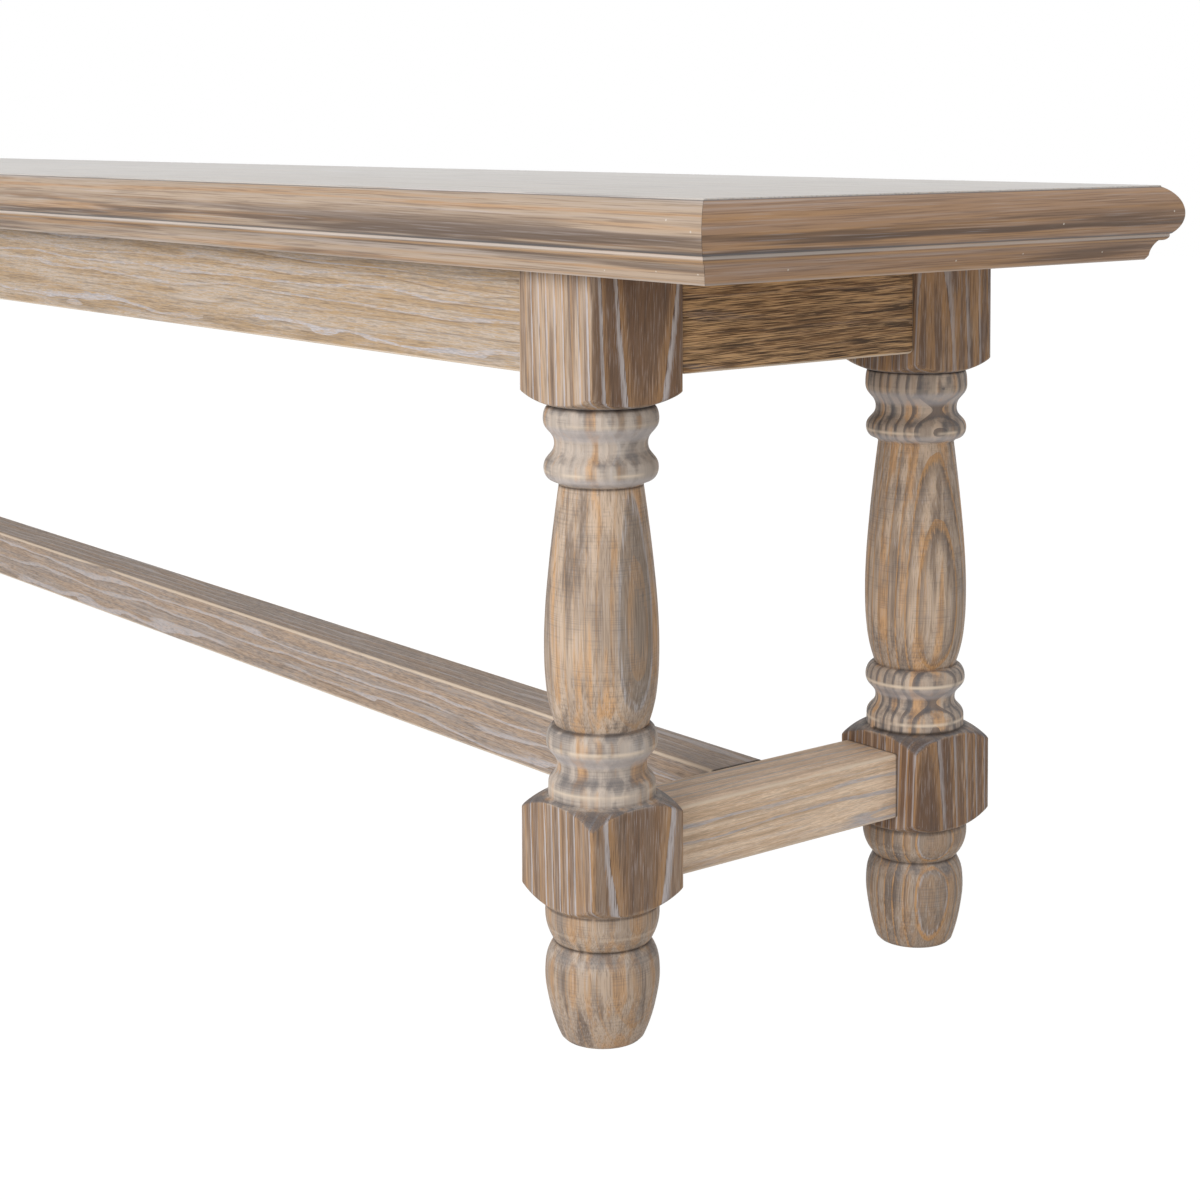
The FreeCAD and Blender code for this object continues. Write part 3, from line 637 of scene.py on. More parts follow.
def beech(name, colours):
    """Turned beech dowel, bare, with short fine flecks."""
    material, tree = new_material(name)
    points = log_points(tree, (0, 0, 0), "x", (0, 0, 0))
    fleck = streaks(tree, points, 0.7 * mm, 0.4)
    wood = layered(tree, opaque(colours.beech), (colours.bare_line, 0.6, (fleck, 0.55, 0.65)))
    finished(tree, wood, fleck, 0.05 * mm, 0.65, 0.55)
    return material


def zinc_plated_steel(name, colours):
    """Bright zinc plate on steel screws, a little clouded."""
    material, tree = new_material(name)
    place = add(tree, "TexCoord", {}, output="Object")
    cloud = add(tree, "TexNoise", {"Vector": place, "Scale": 1 / (2.0 * mm), "Detail": 3.0})
    gloss = add(tree, "MapRange", {"Value": cloud, "To Min": 0.2, "To Max": 0.5})
    tint = layered(tree, opaque(colours.zinc), (colours.turned_grey, 1.0, (cloud, 0.3, 0.7)))
    surface = add(tree, "BsdfPrincipled", {"Base Color": tint, "Metallic": 1.0, "Roughness": gloss})
    add(tree, "OutputMaterial", {"Surface": surface})
    return material


def wood_filler(name, colours):
    """Pale putty in the pin holes, sanded flush and a little stained, its grit drawn coarser."""
    material, tree = new_material(name)
    place = add(tree, "TexCoord", {}, output="Object")
    grit = add(tree, "TexNoise", {"Vector": place, "Scale": 1 / (0.5 * mm), "Detail": 2.0})
    tint = layered(tree, opaque(colours.filler), (colours.turned_grey, 0.7, (grit, 0.3, 0.7)))
    finished(tree, tint, grit, 0.05 * mm, 0.75, 0.65)
    return material


# Shapes

class Outline:
    """A chain of edges in the upright plane through X, drawn from point to point."""

    def __init__(self, step, start):
        self.mesh = bmesh.new()
        self.step = step
        self.last = self.mesh.verts.new(start)
        self.first = self.last

    def line_to(self, point):
        following = self.mesh.verts.new(point)
        self.mesh.edges.new((self.last, following))
        self.last = following

    def arc_to(self, middle, end):
        """Spins the last point round the circle through two more."""
        start = self.last.co.copy()
        first_chord = middle - start
        whole_chord = end - start
        axis = first_chord.cross(whole_chord)
        centre = start + (
            axis.cross(first_chord) * whole_chord.length_squared
            + whole_chord.cross(axis) * first_chord.length_squared
        ) / (2 * axis.length_squared)
        turn = (start - centre).angle(middle - centre) + (middle - centre).angle(end - centre)
        steps = math.ceil(turn * (start - centre).length / self.step)
        spun = bmesh.ops.spin(
            self.mesh, geom=[self.last], cent=centre, axis=axis.normalized(), angle=turn,
            steps=max(steps, 4), use_merge=False, use_duplicate=False,
        )
        self.last = next(item for item in spun["geom_last"] if isinstance(item, bmesh.types.BMVert))
        if (self.last.co - end).length > 10 * same_place:
            raise RuntimeError("an arc of the outline misses its end point")

    def bend_to(self, end, first_handle, last_handle):
        """A bend whose ends point along two handles."""
        start = self.last.co.copy()
        steps = math.ceil((end - start).length / self.step) + 2
        bend = interpolate_bezier(start, start + first_handle, end - last_handle, end, steps + 1)
        for point in bend[1:]:
            self.line_to(point)

    def curve_through(self, points):
        """A smooth curve from the last point through all of these."""
        knots = [self.last.co.copy(), *points]
        spans = [(after - before).length for before, after in zip(knots, knots[1:])]
        slopes = [
            (after - before) / span for before, after, span in zip(knots, knots[1:], spans)
        ]
        inner = [
            (slopes[index - 1] * spans[index] + slopes[index] * spans[index - 1])
            / (spans[index - 1] + spans[index])
            for index in range(1, len(slopes))
        ]
        tangents = [2 * slopes[0] - inner[0], *inner, 2 * slopes[-1] - inner[-1]]
        for index, span in enumerate(spans):
            self.bend_to(knots[index + 1], tangents[index] * span / 3, tangents[index + 1] * span / 3)

    def close(self):
        self.mesh.edges.new((self.last, self.first))


def cut_away(shape, point, normal):
    """Cuts off what lies beyond a plane and closes the cut."""
    geometry = shape.verts[:] + shape.edges[:] + shape.faces[:]
    bmesh.ops.bisect_plane(
        shape, geom=geometry, dist=same_place / 10, plane_co=point, plane_no=normal, clear_outer=True
    )
    rim = [edge for edge in shape.edges if edge.is_boundary]
    bmesh.ops.holes_fill(shape, edges=rim, sides=0)


def finish_shape(shape):
    """Merges doubles and turns every face outwards."""
    bmesh.ops.remove_doubles(shape, verts=shape.verts, dist=same_place)
    bmesh.ops.recalc_face_normals(shape, faces=shape.faces)


def new_piece(name, shape, material, slot, *nodes, sharp=20):
    """A piece of the bench from its shape, shaded smooth but for edges sharper than an angle."""
    mesh = bpy.data.meshes.new(name)
    shape.to_mesh(mesh)
    shape.free()
    for polygon in mesh.polygons:
        polygon.use_smooth = True
    mesh.set_sharp_from_angle(angle=math.radians(sharp))
    mesh.materials.append(material)
    piece = bpy.data.objects.new(name, mesh)
    bpy.context.scene.collection.objects.link(piece)
    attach(piece, "root")
    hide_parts(*nodes)
    if any(edge.is_loose for edge in mesh.edges) or not mesh.polygons:
        raise RuntimeError(name + " has loose edges or no faces")
    return piece


def block_shape(low, high):
    """A block with square edges between two corners."""
    shape = bmesh.new()
    bmesh.ops.create_cube(shape, size=1.0)
    bmesh.ops.scale(shape, verts=shape.verts, vec=high - low)
    bmesh.ops.translate(shape, verts=shape.verts, vec=(low + high) / 2)
    return shape


def round_edges(shape, edges, radius, segments):
    bmesh.ops.bevel(
        shape, geom=edges, offset=radius, segments=segments, profile=0.5, affect="EDGES",
        material=-1, clamp_overlap=True,
    )


def board_shape(low, high, easing, top_too, along, corner=0.0):
    """A board between two corners, with its long edges eased.

    Given a corner radius, its lower corners are rounded and its ends eased too.
    """
    shape = block_shape(low, high)
    size = high - low
    across = 1 - along
    middle = (low.z + high.z) / 2

    def runs(edge, axis):
        start, end = (vertex.co for vertex in edge.verts)
        return abs((end - start)[axis]) > size[axis] / 2

    if corner:
        corners = [edge for edge in shape.edges if runs(edge, across) and edge.verts[0].co.z < middle]
        round_edges(shape, corners, corner, 6)
        shape.normal_update()
    eased = []
    for edge in shape.edges:
        sides = [face for face in edge.link_faces if abs(face.normal[across]) > 0.9]
        is_top = all(vertex.co.z > high.z - easing for vertex in edge.verts)
        if len(sides) == 1 and (runs(edge, along) or corner) and (top_too or not is_top):
            eased.append(edge)
    round_edges(shape, eased, easing, 4)
    finish_shape(shape)
    return shape


def turned_outline(sizes):
    """The outline of a leg, from the middle of its sole to the middle of its top."""
    parts = leg_parts(sizes)
    # Just past the corners of the stock, so that the blocks are cut from a full round
    reach = leg_size / math.sqrt(2) + mm

    def at(cut, height):
        return Vector((leg_size / 2 - cut, 0, height))

    def shoulder(outline, end, rise, outwards):
        """The skew cut between a turned part and the corners of the block beside it."""
        outer = Vector((reach, 0, end.z + rise))
        middle = Vector(((end.x + reach) / 2, 0, end.z + rise * sizes.shoulder_bulge))
        outline.arc_to(middle, outer if outwards else end)

    def bead(outline, middle_cut, end):
        outline.arc_to(at(middle_cut, (outline.last.co.z + end.z) / 2), end)

    def beads_round_cove(outline, low_cut, cove_cut, high_cut, heights, end):
        """Two beads that run into the cove between them without an edge."""
        low_crest, cove, high_crest = (
            at(cut, (below + above) / 2)
            for cut, below, above in zip((low_cut, cove_cut, high_cut), heights, heights[1:])
        )
        # Handles about as long as those of a quarter round
        outwards = Vector((0.6, 0, 0))
        upwards = Vector((0, 0, 0.55))
        half_low = low_crest - outline.last.co
        outline.bend_to(low_crest, outwards * half_low.x, upwards * half_low.z)
        for point in (cove, high_crest):
            handle = Vector((0, 0, (point.z - outline.last.co.z) / 2))
            outline.bend_to(point, handle, handle)
        half_high = end - high_crest
        outline.bend_to(end, upwards * half_high.z, outwards * half_high.x)

    def swelling(outline, belly_cut, shares, end):
        """A vase or a bun foot, by shares of its height and of what it swells by."""
        rises, belly_share, falls = shares
        start = outline.last.co.copy()
        belly = at(belly_cut, 0).x
        height = end.z - start.z
        points = [(share, start.x + (belly - start.x) * gain) for share, gain in rises]
        points.append((belly_share, belly))
        points += [(share, end.x + (belly - end.x) * gain) for share, gain in falls]
        outline.curve_through([
            *(Vector((radius, 0, start.z + height * share)) for share, radius in points), end,
        ])

    ankle_end = at(sizes.ankle_end_cut, parts["ankle"])
    collar_end = at(sizes.collar_end_cut, parts["lower_block"])
    top_end = at(sizes.top_end_cut, parts["upper_block"])
    outline = Outline(sizes.curve_step, Vector((0, 0, 0)))
    outline.line_to(at(sizes.sole_cut, 0))
    outline.line_to(at(sizes.sole_cut - sizes.sole_chamfer, sizes.sole_chamfer))
    swelling(outline, sizes.foot_belly_cut, foot_swell, at(sizes.ankle_groove_cut, parts["foot"]))
    bead(outline, sizes.ankle_bead_cut, ankle_end)
    shoulder(outline, ankle_end, sizes.foot_shoulder_height, True)
    outline.line_to(Vector((reach, 0, collar_end.z - sizes.collar_shoulder_height)))
    shoulder(outline, collar_end, -sizes.collar_shoulder_height, False)
    beads_round_cove(
        outline, sizes.collar_bead_cut, sizes.lower_cove_cut, sizes.lower_bead_cut,
        [parts[joint] for joint in ("lower_block", "collar", "lower_cove", "vase_foot")],
        at(sizes.vase_foot_cut, parts["vase_foot"]),
    )
    swelling(outline, sizes.vase_belly_cut, vase_swell, at(sizes.neck_cut, parts["neck"]))
    outline.line_to(at(sizes.neck_fillet_cut, parts["neck_edge"]))
    beads_round_cove(
        outline, sizes.upper_bead_cut, sizes.upper_cove_cut, sizes.top_bead_cut,
        [parts[joint] for joint in ("neck_edge", "upper_bead", "upper_cove", "upper_block")], top_end,
    )
    shoulder(outline, top_end, sizes.top_shoulder_height, True)
    outline.line_to(Vector((reach, 0, leg_height)))
    outline.line_to(Vector((0, 0, leg_height)))
    return outline


def squared_radius(angle, arris):
    """How far a block's side is from the leg's axis in a direction, its arrises rounded."""
    half = leg_size / 2
    turn = abs((angle + math.tau / 8) % (math.tau / 4) - math.tau / 8)
    corner = half - arris
    if half * math.tan(turn) <= corner:
        return half / math.cos(turn)
    along = corner * (math.cos(turn) + math.sin(turn))
    across = corner * (math.cos(turn) - math.sin(turn))
    return along + math.sqrt(arris ** 2 - across ** 2)


def worn_together(first, second, wear):
    """The lesser of two radii, rounded where they are nearly the same."""
    near = max(wear - abs(first - second), 0) / wear
    return min(first, second) - near ** 2 * wear / 4


def turned_leg(sizes):
    """A leg on its own axis: the outline spun round, then drawn in to the square of the blocks."""
    # The steps of the spin gather at the blocks' corners, where the arrises turn
    steps, gather = 144, 0.19
    shape = turned_outline(sizes).mesh
    bmesh.ops.spin(
        shape, geom=shape.verts[:] + shape.edges[:], cent=(0, 0, 0), axis=(0, 0, 1),
        angle=math.tau, steps=steps, use_merge=True, use_duplicate=False,
    )
    finish_shape(shape)
    parts = leg_parts(sizes)
    for vertex in shape.verts:
        radius = vertex.co.xy.length
        if radius < mm:
            continue
        angle = math.atan2(vertex.co.y, vertex.co.x)
        angle += gather * math.sin(4 * angle)
        side = squared_radius(angle, sizes.leg_arris)
        in_block = parts["ankle"] < vertex.co.z < parts["lower_block"]
        if in_block or vertex.co.z > parts["upper_block"]:
            cornerness = (side / (leg_size / 2) - 1) / (math.sqrt(2) - 1)
            wear = sizes.leg_wear + sizes.corner_wear * cornerness ** 2
            radius = worn_together(radius, side, wear)
        radius = min(radius, side)
        vertex.co.xy = Vector((math.cos(angle), math.sin(angle))) * radius
    finish_shape(shape)
    return shape


def moulding_shape(sizes, run, outer):
    """A mitred length of the edge moulding, with its nose at +X and its length along Y."""
    tip = moulding_high.z - sizes.nose_rise

    def at(inset, height):
        return Vector((outer - inset, 0, height))

    def nose(outline, reach, height, upwards):
        """Half of the nose: an arc that stands upright at the nose's widest point."""
        radius = (reach ** 2 + height ** 2) / (2 * reach)
        half_turn = math.asin(abs(height) / radius) / 2
        rise = math.copysign(radius * math.sin(half_turn), height)
        middle = at(radius * (1 - math.cos(half_turn)), tip + rise)
        outline.arc_to(middle, at(reach, tip + height) if upwards else at(0, tip))

    def bulged(outline, end, bulge):
        """An arc to a point, standing off its chord by a bulge."""
        start = outline.last.co.copy()
        chord = end - start
        side = Vector((-chord.z, 0, chord.x)).normalized()
        outline.arc_to((start + end) / 2 + side * bulge, end)

    panel_inset = half_length - sizes.pin_room - panel_high.x
    nose_end = at(sizes.nose_return, tip - sizes.nose_fall)
    fillet_top = nose_end + Vector((-sizes.quirk_step, 0, -sizes.quirk_drop))
    fillet_end = fillet_top - Vector((0, 0, sizes.fillet_drop))
    ovolo_end = fillet_end - Vector((sizes.ovolo_reach, 0, sizes.ovolo_drop))
    cove_end = ovolo_end - Vector((sizes.cove_reach, 0, sizes.cove_drop))
    lip_inset = sizes.nose_return + sizes.quirk_step + sizes.ovolo_reach + sizes.cove_reach
    lip_end = at(lip_inset + sizes.lip_reach, moulding_low.z)

    outline = Outline(sizes.curve_step, at(panel_inset, panel_low.z))
    outline.line_to(at(panel_inset, moulding_high.z))
    nose(outline, panel_inset, sizes.nose_rise, False)
    nose(outline, sizes.nose_return, -sizes.nose_fall, True)
    outline.line_to(fillet_top)
    outline.line_to(fillet_end)
    bulged(outline, ovolo_end, sizes.ovolo_bulge)
    bulged(outline, cove_end, -sizes.cove_hollow)
    outline.line_to(lip_end)
    outline.line_to(at(sizes.moulding_width, moulding_low.z))
    outline.line_to(at(sizes.moulding_width, panel_low.z))
    outline.close()
    shape = outline.mesh
    bmesh.ops.translate(shape, verts=shape.verts, vec=(0, -run / 2, 0))
    face = bmesh.ops.contextual_create(shape, geom=shape.edges[:])["faces"]
    grown = bmesh.ops.extrude_face_region(shape, geom=face)["geom"]
    far = [item for item in grown if isinstance(item, bmesh.types.BMVert)]
    bmesh.ops.translate(shape, verts=far, vec=(0, run, 0))
    finish_shape(shape)
    for side in (-1, 1):
        corner = Vector((outer, side * (run / 2 - sizes.mitre_gap), 0))
        cut_away(shape, corner, Vector((-1, side, 0)).normalized())
    finish_shape(shape)
    return shape


def leg_centre(leg):
    low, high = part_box(leg)
    return Vector(((low.x + high.x) / 2, (low.y + high.y) / 2, 0))


def between_legs(node, along):
    """The box of an apron or an end stretcher, drawn in to the faces of the legs."""
    low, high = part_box(node)
    high[along] = leg_low.x if along == 0 else -leg_high.y
    low[along] = -high[along]
    return low, high


# Operators

class BENCH_OT_seat(bpy.types.Operator):
    """Make the seat board"""

    bl_idname = "bench.seat"
    bl_label = "Seat"

    def execute(self, context):
        sizes = context.scene.bench_sizes
        colours = context.scene.bench_colours
        pith = (0, 0.04, panel_low.z - 0.06)
        log_tilt = (0, 0.6, 0.4)
        wood = limed_seat("limed_pine_seat", colours, pith, log_tilt)
        shape = block_shape(panel_low, panel_high)
        rim = [
            edge for edge in shape.edges
            if all(vertex.co.z > panel_high.z - sizes.panel_easing for vertex in edge.verts)
        ]
        round_edges(shape, rim, sizes.panel_easing, 3)
        finish_shape(shape)
        new_piece("seat_board", shape, wood, "seat_wood", "seat_panel")
        return {"FINISHED"}


class BENCH_OT_mouldings(bpy.types.Operator):
    """Make the four mitred mouldings round the seat"""

    bl_idname = "bench.mouldings"
    bl_label = "Mouldings"

    # Each moulding's side, its turn from +X in degrees, its grain and where its log's pith lies
    sides = (
        ("right_end", 0, "y", (0.86, 0.0, 0.30)),
        ("back", 90, "x", (0.0, 0.13, 0.31)),
        ("left_end", 180, "y", (-0.85, 0.0, 0.32)),
        ("front", 270, "x", (0.0, -0.12, 0.30)),
    )
    log_tilt = (0.5, 0.3, 0.4)

    def execute(self, context):
        sizes = context.scene.bench_sizes
        colours = context.scene.bench_colours
        for side, degrees, grain, pith in self.sides:
            is_end = grain == "y"
            run = 2 * ((half_depth if is_end else half_length) - sizes.pin_room)
            outer = (half_length if is_end else half_depth) - sizes.pin_room
            ground = colours.moulding_brown if is_end else colours.moulding
            wood = glazed_pine(
                "glazed_pine_" + side, sizes, colours, ground, grain, pith, self.log_tilt
            )
            shape = moulding_shape(sizes, run, outer)
            turn = Matrix.Rotation(math.radians(degrees), 3, "Z")
            bmesh.ops.rotate(shape, verts=shape.verts, cent=(0, 0, 0), matrix=turn)
            new_piece(side + "_edge_moulding", shape, wood, "moulding_wood", side + "_moulding")
        return {"FINISHED"}


class OwnSizes:
    """The shared sizes as they came out on one leg, turned by hand."""

    def __init__(self, sizes, changes):
        self.sizes = sizes
        self.changes = changes

    def __getattr__(self, name):
        return getattr(self.sizes, name) + self.changes.get(name, 0) * mm


class BENCH_OT_legs(bpy.types.Operator):
    """Make the four turned legs"""

    bl_idname = "bench.legs"
    bl_label = "Legs"

    # Each leg's pith from its own axis, the tilt of its log in degrees, the heart's radius and
    # how strongly its rings show
    logs = {
        "front_left": ((-88, 14), (3.0, 2.4, 0), 58, 0.5),
        "front_right": ((84.4, 2), (-1.2, -2.4, 0), 56.6, 0.2),
        "back_left": ((90, -18), (2.0, -3.0, 0), 62, 0.6),
        "back_right": ((70, -22), (-1.0, 2.6, 0), 41, 0.9),
    }
    # How the back right leg, turned by hand, came out from the others, in millimetres
    own_changes = {
        "back_right": {
            "upper_block_height": -2.5, "top_bead_height": 2.5, "upper_cove_height": -1.1,
            "upper_bead_height": -1.3, "neck_fillet_height": 0.2, "lower_cove_height": 0.8,
            "lower_bead_height": -2.0, "foot_height": -1.2, "top_bead_cut": 0.9,
            "top_end_cut": -1.25, "upper_cove_cut": 1.1, "upper_bead_cut": 1.1, "neck_cut": 0.3,
            "neck_fillet_cut": 0.3, "vase_belly_cut": 0.85, "vase_foot_cut": 1.2,
            "lower_bead_cut": 0.45, "lower_cove_cut": 0.6, "ankle_groove_cut": 1.5,
            "foot_belly_cut": 2.0,
        },
    }

    def execute(self, context):
        colours = context.scene.bench_colours
        for corner, (pith, tilt, heart, figure) in self.logs.items():
            sizes = OwnSizes(context.scene.bench_sizes, self.own_changes.get(corner, {}))
            centre = leg_centre(corner + "_leg")
            place = centre + Vector((pith[0] * mm, pith[1] * mm, leg_height / 2))
            wood = limed_pine(
                "limed_pine_" + corner, sizes, colours, place, tilt, heart * mm, figure
            )
            shape = turned_leg(sizes)
            bmesh.ops.translate(shape, verts=shape.verts, vec=centre)
            new_piece(
                corner + "_turned_leg", shape, wood, "leg_wood", corner + "_leg", sharp=38
            )
        return {"FINISHED"}


class BENCH_OT_aprons(bpy.types.Operator):
    """Make the four aprons between the legs"""

    bl_idname = "bench.aprons"
    bl_label = "Aprons"

    # Where each log's pith lies
    piths = {
        "front": (0.2, -0.06, 0.33), "back": (-0.1, 0.06, 0.34), "right_end": (0.70, 0, 0.33),
        "left_end": (-0.69, 0, 0.34),
    }
    log_tilt = (1.0, 0.5, 1.0)
    # An apron's shares of gold, lime and dark pores and the reach of its pores
    long_shares = (0.6, 0.95, 0.3, 3.0)
    end_shares = (0.7, 0.2, 0.8, 9.0)

    def execute(self, context):
        sizes = context.scene.bench_sizes
        colours = context.scene.bench_colours
        long_look = (colours.oak, colours.oak_gold, self.long_shares, 0.0)
        end_look = (colours.oak_brown, colours.end_gold, self.end_shares, sizes.apron_corner)
        for side, pith in self.piths.items():
            along = 1 if side.endswith("_end") else 0
            ground, gold, shares, corner = end_look if along else long_look
            low, high = between_legs(side + "_apron", along)
            wood = limed_oak(
                "limed_oak_" + side, colours, ground, gold, "xy"[along], pith, self.log_tilt,
                shares, high[along],
            )
            shape = board_shape(low, high, sizes.apron_easing, False, along, corner)
            new_piece(side + "_apron_board", shape, wood, "apron_wood", side + "_apron")
        return {"FINISHED"}


class BENCH_OT_stretchers(bpy.types.Operator):
    """Make the stretchers between the legs"""

    bl_idname = "bench.stretchers"
    bl_label = "Stretchers"

    # Where each log's pith lies, and the stretcher's shares of gold, lime and dark pores and the
    # reach of its pores
    rails = {
        "centre": ((0.1, 0.05, 0.06), (0.35, 0.8, 0.3, 2.0)),
        "right_end": ((0.71, 0.02, 0.06), (0.5, 0.9, 0.25, 3.0)),
        "left_end": ((-0.70, 0.02, 0.05), (0.5, 0.9, 0.25, 3.0)),
    }
    log_tilt = (0.8, 0.6, 0.5)

    def execute(self, context):
        sizes = context.scene.bench_sizes
        colours = context.scene.bench_colours
        for side, (pith, shares) in self.rails.items():
            rail = side + "_stretcher"
            if side == "centre":
                # The centre stretcher's grey ground is partly a painted reflection
                along, ground = 0, colours.stretcher
                low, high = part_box(rail)
            else:
                # The end stretchers' ground is painted paler, as painted bounce light from the floor
                along, ground = 1, colours.stretcher_tan
                low, high = between_legs(rail, along)
            wood = limed_oak(
                "limed_oak_" + rail, colours, ground, colours.stretcher_gold, "xy"[along], pith,
                self.log_tilt, shares, high[along],
            )
            shape = board_shape(low, high, sizes.stretcher_easing, True, along)
            new_piece(rail + "_rail", shape, wood, "stretcher_wood", rail)
        return {"FINISHED"}


class BENCH_OT_pins(bpy.types.Operator):
    """Fill the pin holes in the mouldings near each corner"""

    bl_idname = "bench.pins"
    bl_label = "Filled pin holes"

    # Pins on the long mouldings: how far each is from either corner, and its height, in millimetres
    long_pins = ((8.0, 441.6), (26.9, 446.6), (18.3, 420.4), (49.5, 420.3), (90.3, 419.3))
    # Pins on the end mouldings: how far each is back from the middle, and its height
    end_pins = (
        (-112.0, 420.8), (6.9, 420.6), (58.0, 422.3), (123.7, 421.0), (76.2, 438.2), (169.5, 442.7),
    )
    # Each plug of filler: its depth, how far it stands out, and its outer end's share of its radius
    plug_depth = 0.3 * mm
    plug_proud = 0.005 * mm
    plug_taper = 0.7

    def places(self):
        """Each pin's moulding, a point in front of it and the way in to the wood."""
        for outwards, side in ((-1, "front"), (1, "back")):
            for distance, height in self.long_pins:
                for hand in (-1, 1):
                    along = hand * (half_length - distance * mm)
                    yield side, (along, outwards * half_length, height * mm), (0, -outwards, 0)
        for outwards, side in ((-1, "left_end"), (1, "right_end")):
            for along, height in self.end_pins:
                yield side, (outwards * 2 * half_length, along * mm, height * mm), (-outwards, 0, 0)

    def execute(self, context):
        sizes = context.scene.bench_sizes
        filler = wood_filler("wood_filler", context.scene.bench_colours)
        shape = bmesh.new()
        for side, start, aim in self.places():
            moulding = bmesh.new()
            moulding.from_mesh(bpy.data.objects[side + "_edge_moulding"].data)
            surface = BVHTree.FromBMesh(moulding)
            moulding.free()
            place, normal = surface.ray_cast(Vector(start), Vector(aim))[:2]
            if place is None:
                raise RuntimeError("a pin misses its moulding")
            turn = Vector((0, 0, 1)).rotation_difference(normal).to_matrix().to_4x4()
            middle = place - normal * (self.plug_depth / 2 - self.plug_proud)
            bmesh.ops.create_cone(
                shape, cap_ends=True, cap_tris=False, segments=12, radius1=sizes.pin_radius,
                radius2=sizes.pin_radius * self.plug_taper, depth=self.plug_depth,
                matrix=Matrix.Translation(middle) @ turn,
            )
        bmesh.ops.recalc_face_normals(shape, faces=shape.faces)
        new_piece("filled_pin_holes", shape, filler, "moulding_wood")
        return {"FINISHED"}


class BENCH_OT_under_seat(bpy.types.Operator):
    """Finish the hidden battens, rails, blocks, dowels and screws"""

    bl_idname = "bench.under_seat"
    bl_label = "Under the seat"

    # How far each board lay from its log's pith
    off_pith = Vector((0.01, 0.01, 0.05))

    def execute(self, context):
        colours = context.scene.bench_colours
        for node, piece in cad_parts.items():
            low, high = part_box(node)
            size = high - low
            middle = (low + high) / 2
            if "batten" in node or "rail" in node or "block" in node:
                grain = "x" if size.x >= size.y else "y"
                material = bare_pine("bare_pine_" + node, colours, grain, middle - self.off_pith)
            elif node == "stretcher_dowels":
                material = beech("beech_dowel", colours)
            elif node == "seat_screws":
                material = zinc_plated_steel("zinc_plated_steel", colours)
            else:
                continue
            piece.data.materials.clear()
            piece.data.materials.append(material)
        return {"FINISHED"}


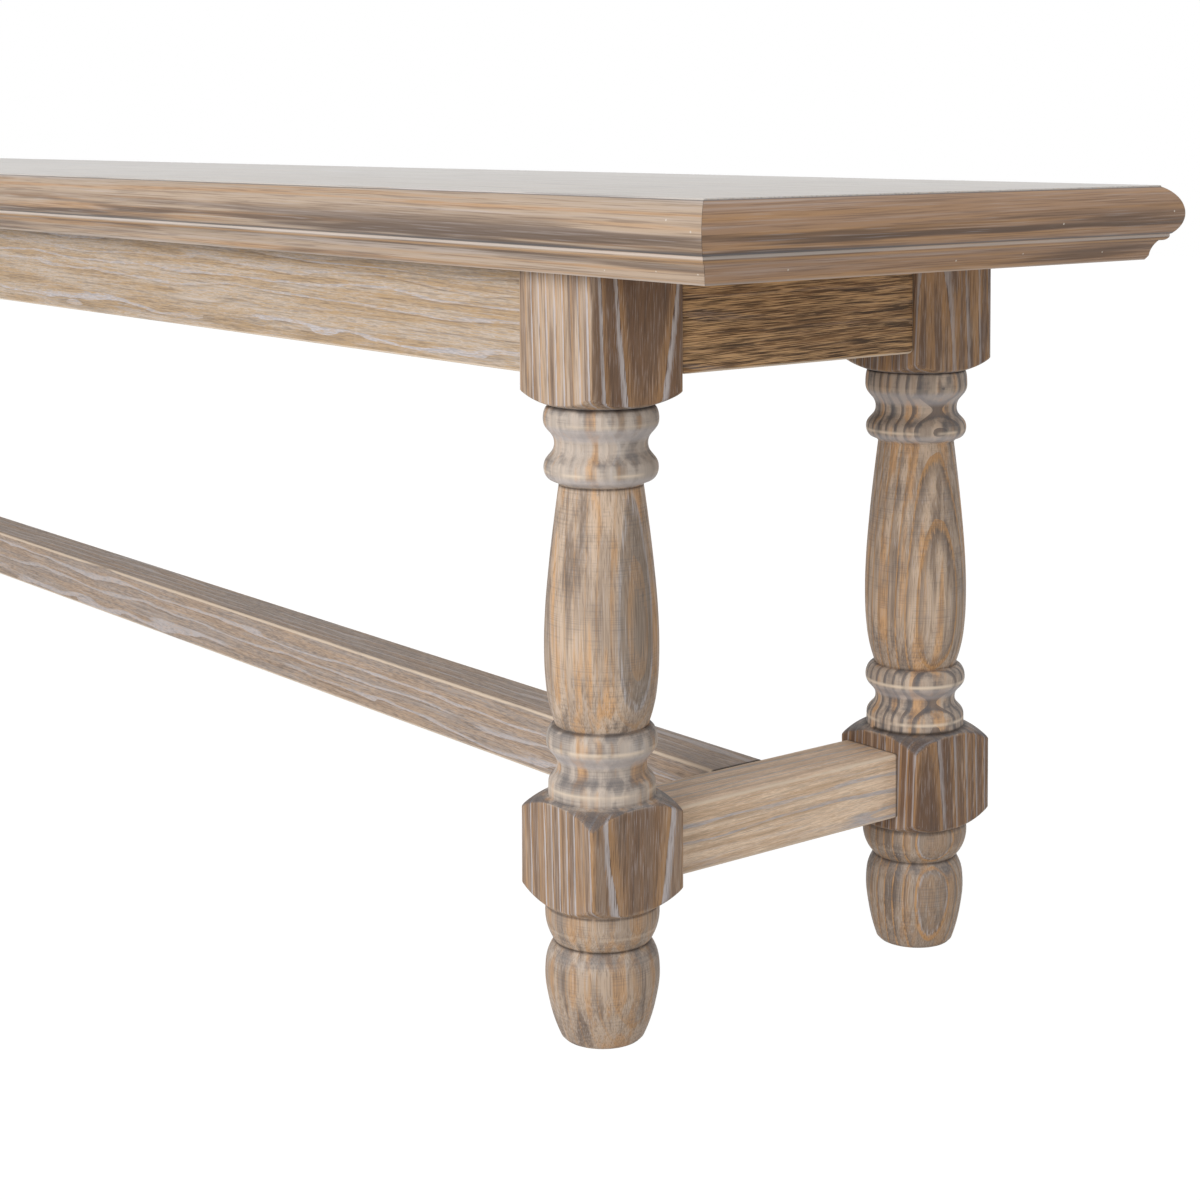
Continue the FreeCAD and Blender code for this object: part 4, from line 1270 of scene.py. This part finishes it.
class BENCH_OT_stage(bpy.types.Operator):
    """Set the floor, the lamp, the white surroundings and the camera"""

    bl_idname = "bench.stage"
    bl_label = "Stage"

    def seen_directly(self, tree):
        """One for rays from the camera and those that gloss or glass sends on."""
        seen = None
        for ray in ("Is Camera Ray", "Is Glossy Ray", "Is Transmission Ray"):
            one = add(tree, "LightPath", {}, output=ray)
            seen = one if seen is None else add(tree, "Math", {0: seen, 1: one}, operation="MAXIMUM")
        return seen

    def execute(self, context):
        stage = context.scene.bench_stage
        colours = context.scene.bench_colours
        self.add_floor(stage, colours)
        self.add_world(stage)
        lamp = bpy.data.lights.new("soft_key", "AREA")
        lamp.energy = stage.key_power
        lamp.size = stage.key_size
        key = bpy.data.objects.new("soft_key", lamp)
        context.scene.collection.objects.link(key)
        key.location = stage.key_place
        aim = Vector((half_length / 2, 0, leg_height / 2)) - key.location
        key.rotation_euler = aim.to_track_quat("-Z", "Y").to_euler()
        lens = bpy.data.cameras.new("camera")
        lens.sensor_width = stage.sensor
        lens.lens = stage.lens
        lens.shift_y = stage.shift
        camera = bpy.data.objects.new("camera", lens)
        context.scene.collection.objects.link(camera)
        camera.location = stage.camera_place
        camera.rotation_euler = stage.camera_turn
        context.scene.camera = camera
        context.scene.view_settings.view_transform = "Standard"
        return {"FINISHED"}

    def add_floor(self, stage, colours):
        material, tree = new_material("pale_studio_floor")
        matt = add(tree, "BsdfDiffuse", {"Color": opaque(colours.floor)})
        glow = add(tree, "Emission", {"Color": white, "Strength": stage.floor_glow})
        glowing = add(
            tree, "Math", {0: self.seen_directly(tree), 1: stage.floor_glow_share},
            operation="MULTIPLY",
        )
        surface = add(tree, "MixShader", {0: glowing, 1: matt, 2: glow})
        add(tree, "OutputMaterial", {"Surface": surface})
        shape = bmesh.new()
        bmesh.ops.create_grid(shape, x_segments=1, y_segments=1, size=stage.floor_size / 2)
        mesh = bpy.data.meshes.new("studio_floor")
        shape.to_mesh(mesh)
        shape.free()
        mesh.materials.append(material)
        floor = bpy.data.objects.new("studio_floor", mesh)
        bpy.context.scene.collection.objects.link(floor)

    def add_world(self, stage):
        world = bpy.data.worlds.new("white_surroundings")
        world.use_nodes = True
        tree = world.node_tree
        tree.nodes.clear()
        level = add(tree, "MapRange", {
            "Value": self.seen_directly(tree), "To Min": stage.sky, "To Max": 1.0,
        })
        light = add(tree, "Background", {"Color": white, "Strength": level})
        add(tree, "OutputWorld", {"Surface": light})
        bpy.context.scene.world = world


class BENCH_PT_panel(bpy.types.Panel):
    """Lists the steps that dress the bench"""

    bl_idname = "BENCH_PT_panel"
    bl_label = "Dining bench"
    bl_space_type = "VIEW_3D"
    bl_region_type = "UI"
    bl_category = "Bench"

    def draw(self, context):
        for operator in operators:
            self.layout.operator(operator.bl_idname)


operators = (
    BENCH_OT_seat, BENCH_OT_mouldings, BENCH_OT_pins, BENCH_OT_legs, BENCH_OT_aprons,
    BENCH_OT_stretchers, BENCH_OT_under_seat, BENCH_OT_stage,
)
classes = (BenchSizes, BenchColours, BenchStage, *operators, BENCH_PT_panel)


def register():
    for item in classes:
        bpy.utils.register_class(item)
    bpy.types.Scene.bench_sizes = bpy.props.PointerProperty(type=BenchSizes)
    bpy.types.Scene.bench_colours = bpy.props.PointerProperty(type=BenchColours)
    bpy.types.Scene.bench_stage = bpy.props.PointerProperty(type=BenchStage)


def unregister():
    del bpy.types.Scene.bench_stage
    del bpy.types.Scene.bench_colours
    del bpy.types.Scene.bench_sizes
    for item in reversed(classes):
        bpy.utils.unregister_class(item)


def main():
    register()
    bpy.ops.bench.seat()
    bpy.ops.bench.mouldings()
    bpy.ops.bench.pins()
    bpy.ops.bench.legs()
    bpy.ops.bench.aprons()
    bpy.ops.bench.stretchers()
    bpy.ops.bench.under_seat()
    bpy.ops.bench.stage()


if __name__ == "__main__":
    main()
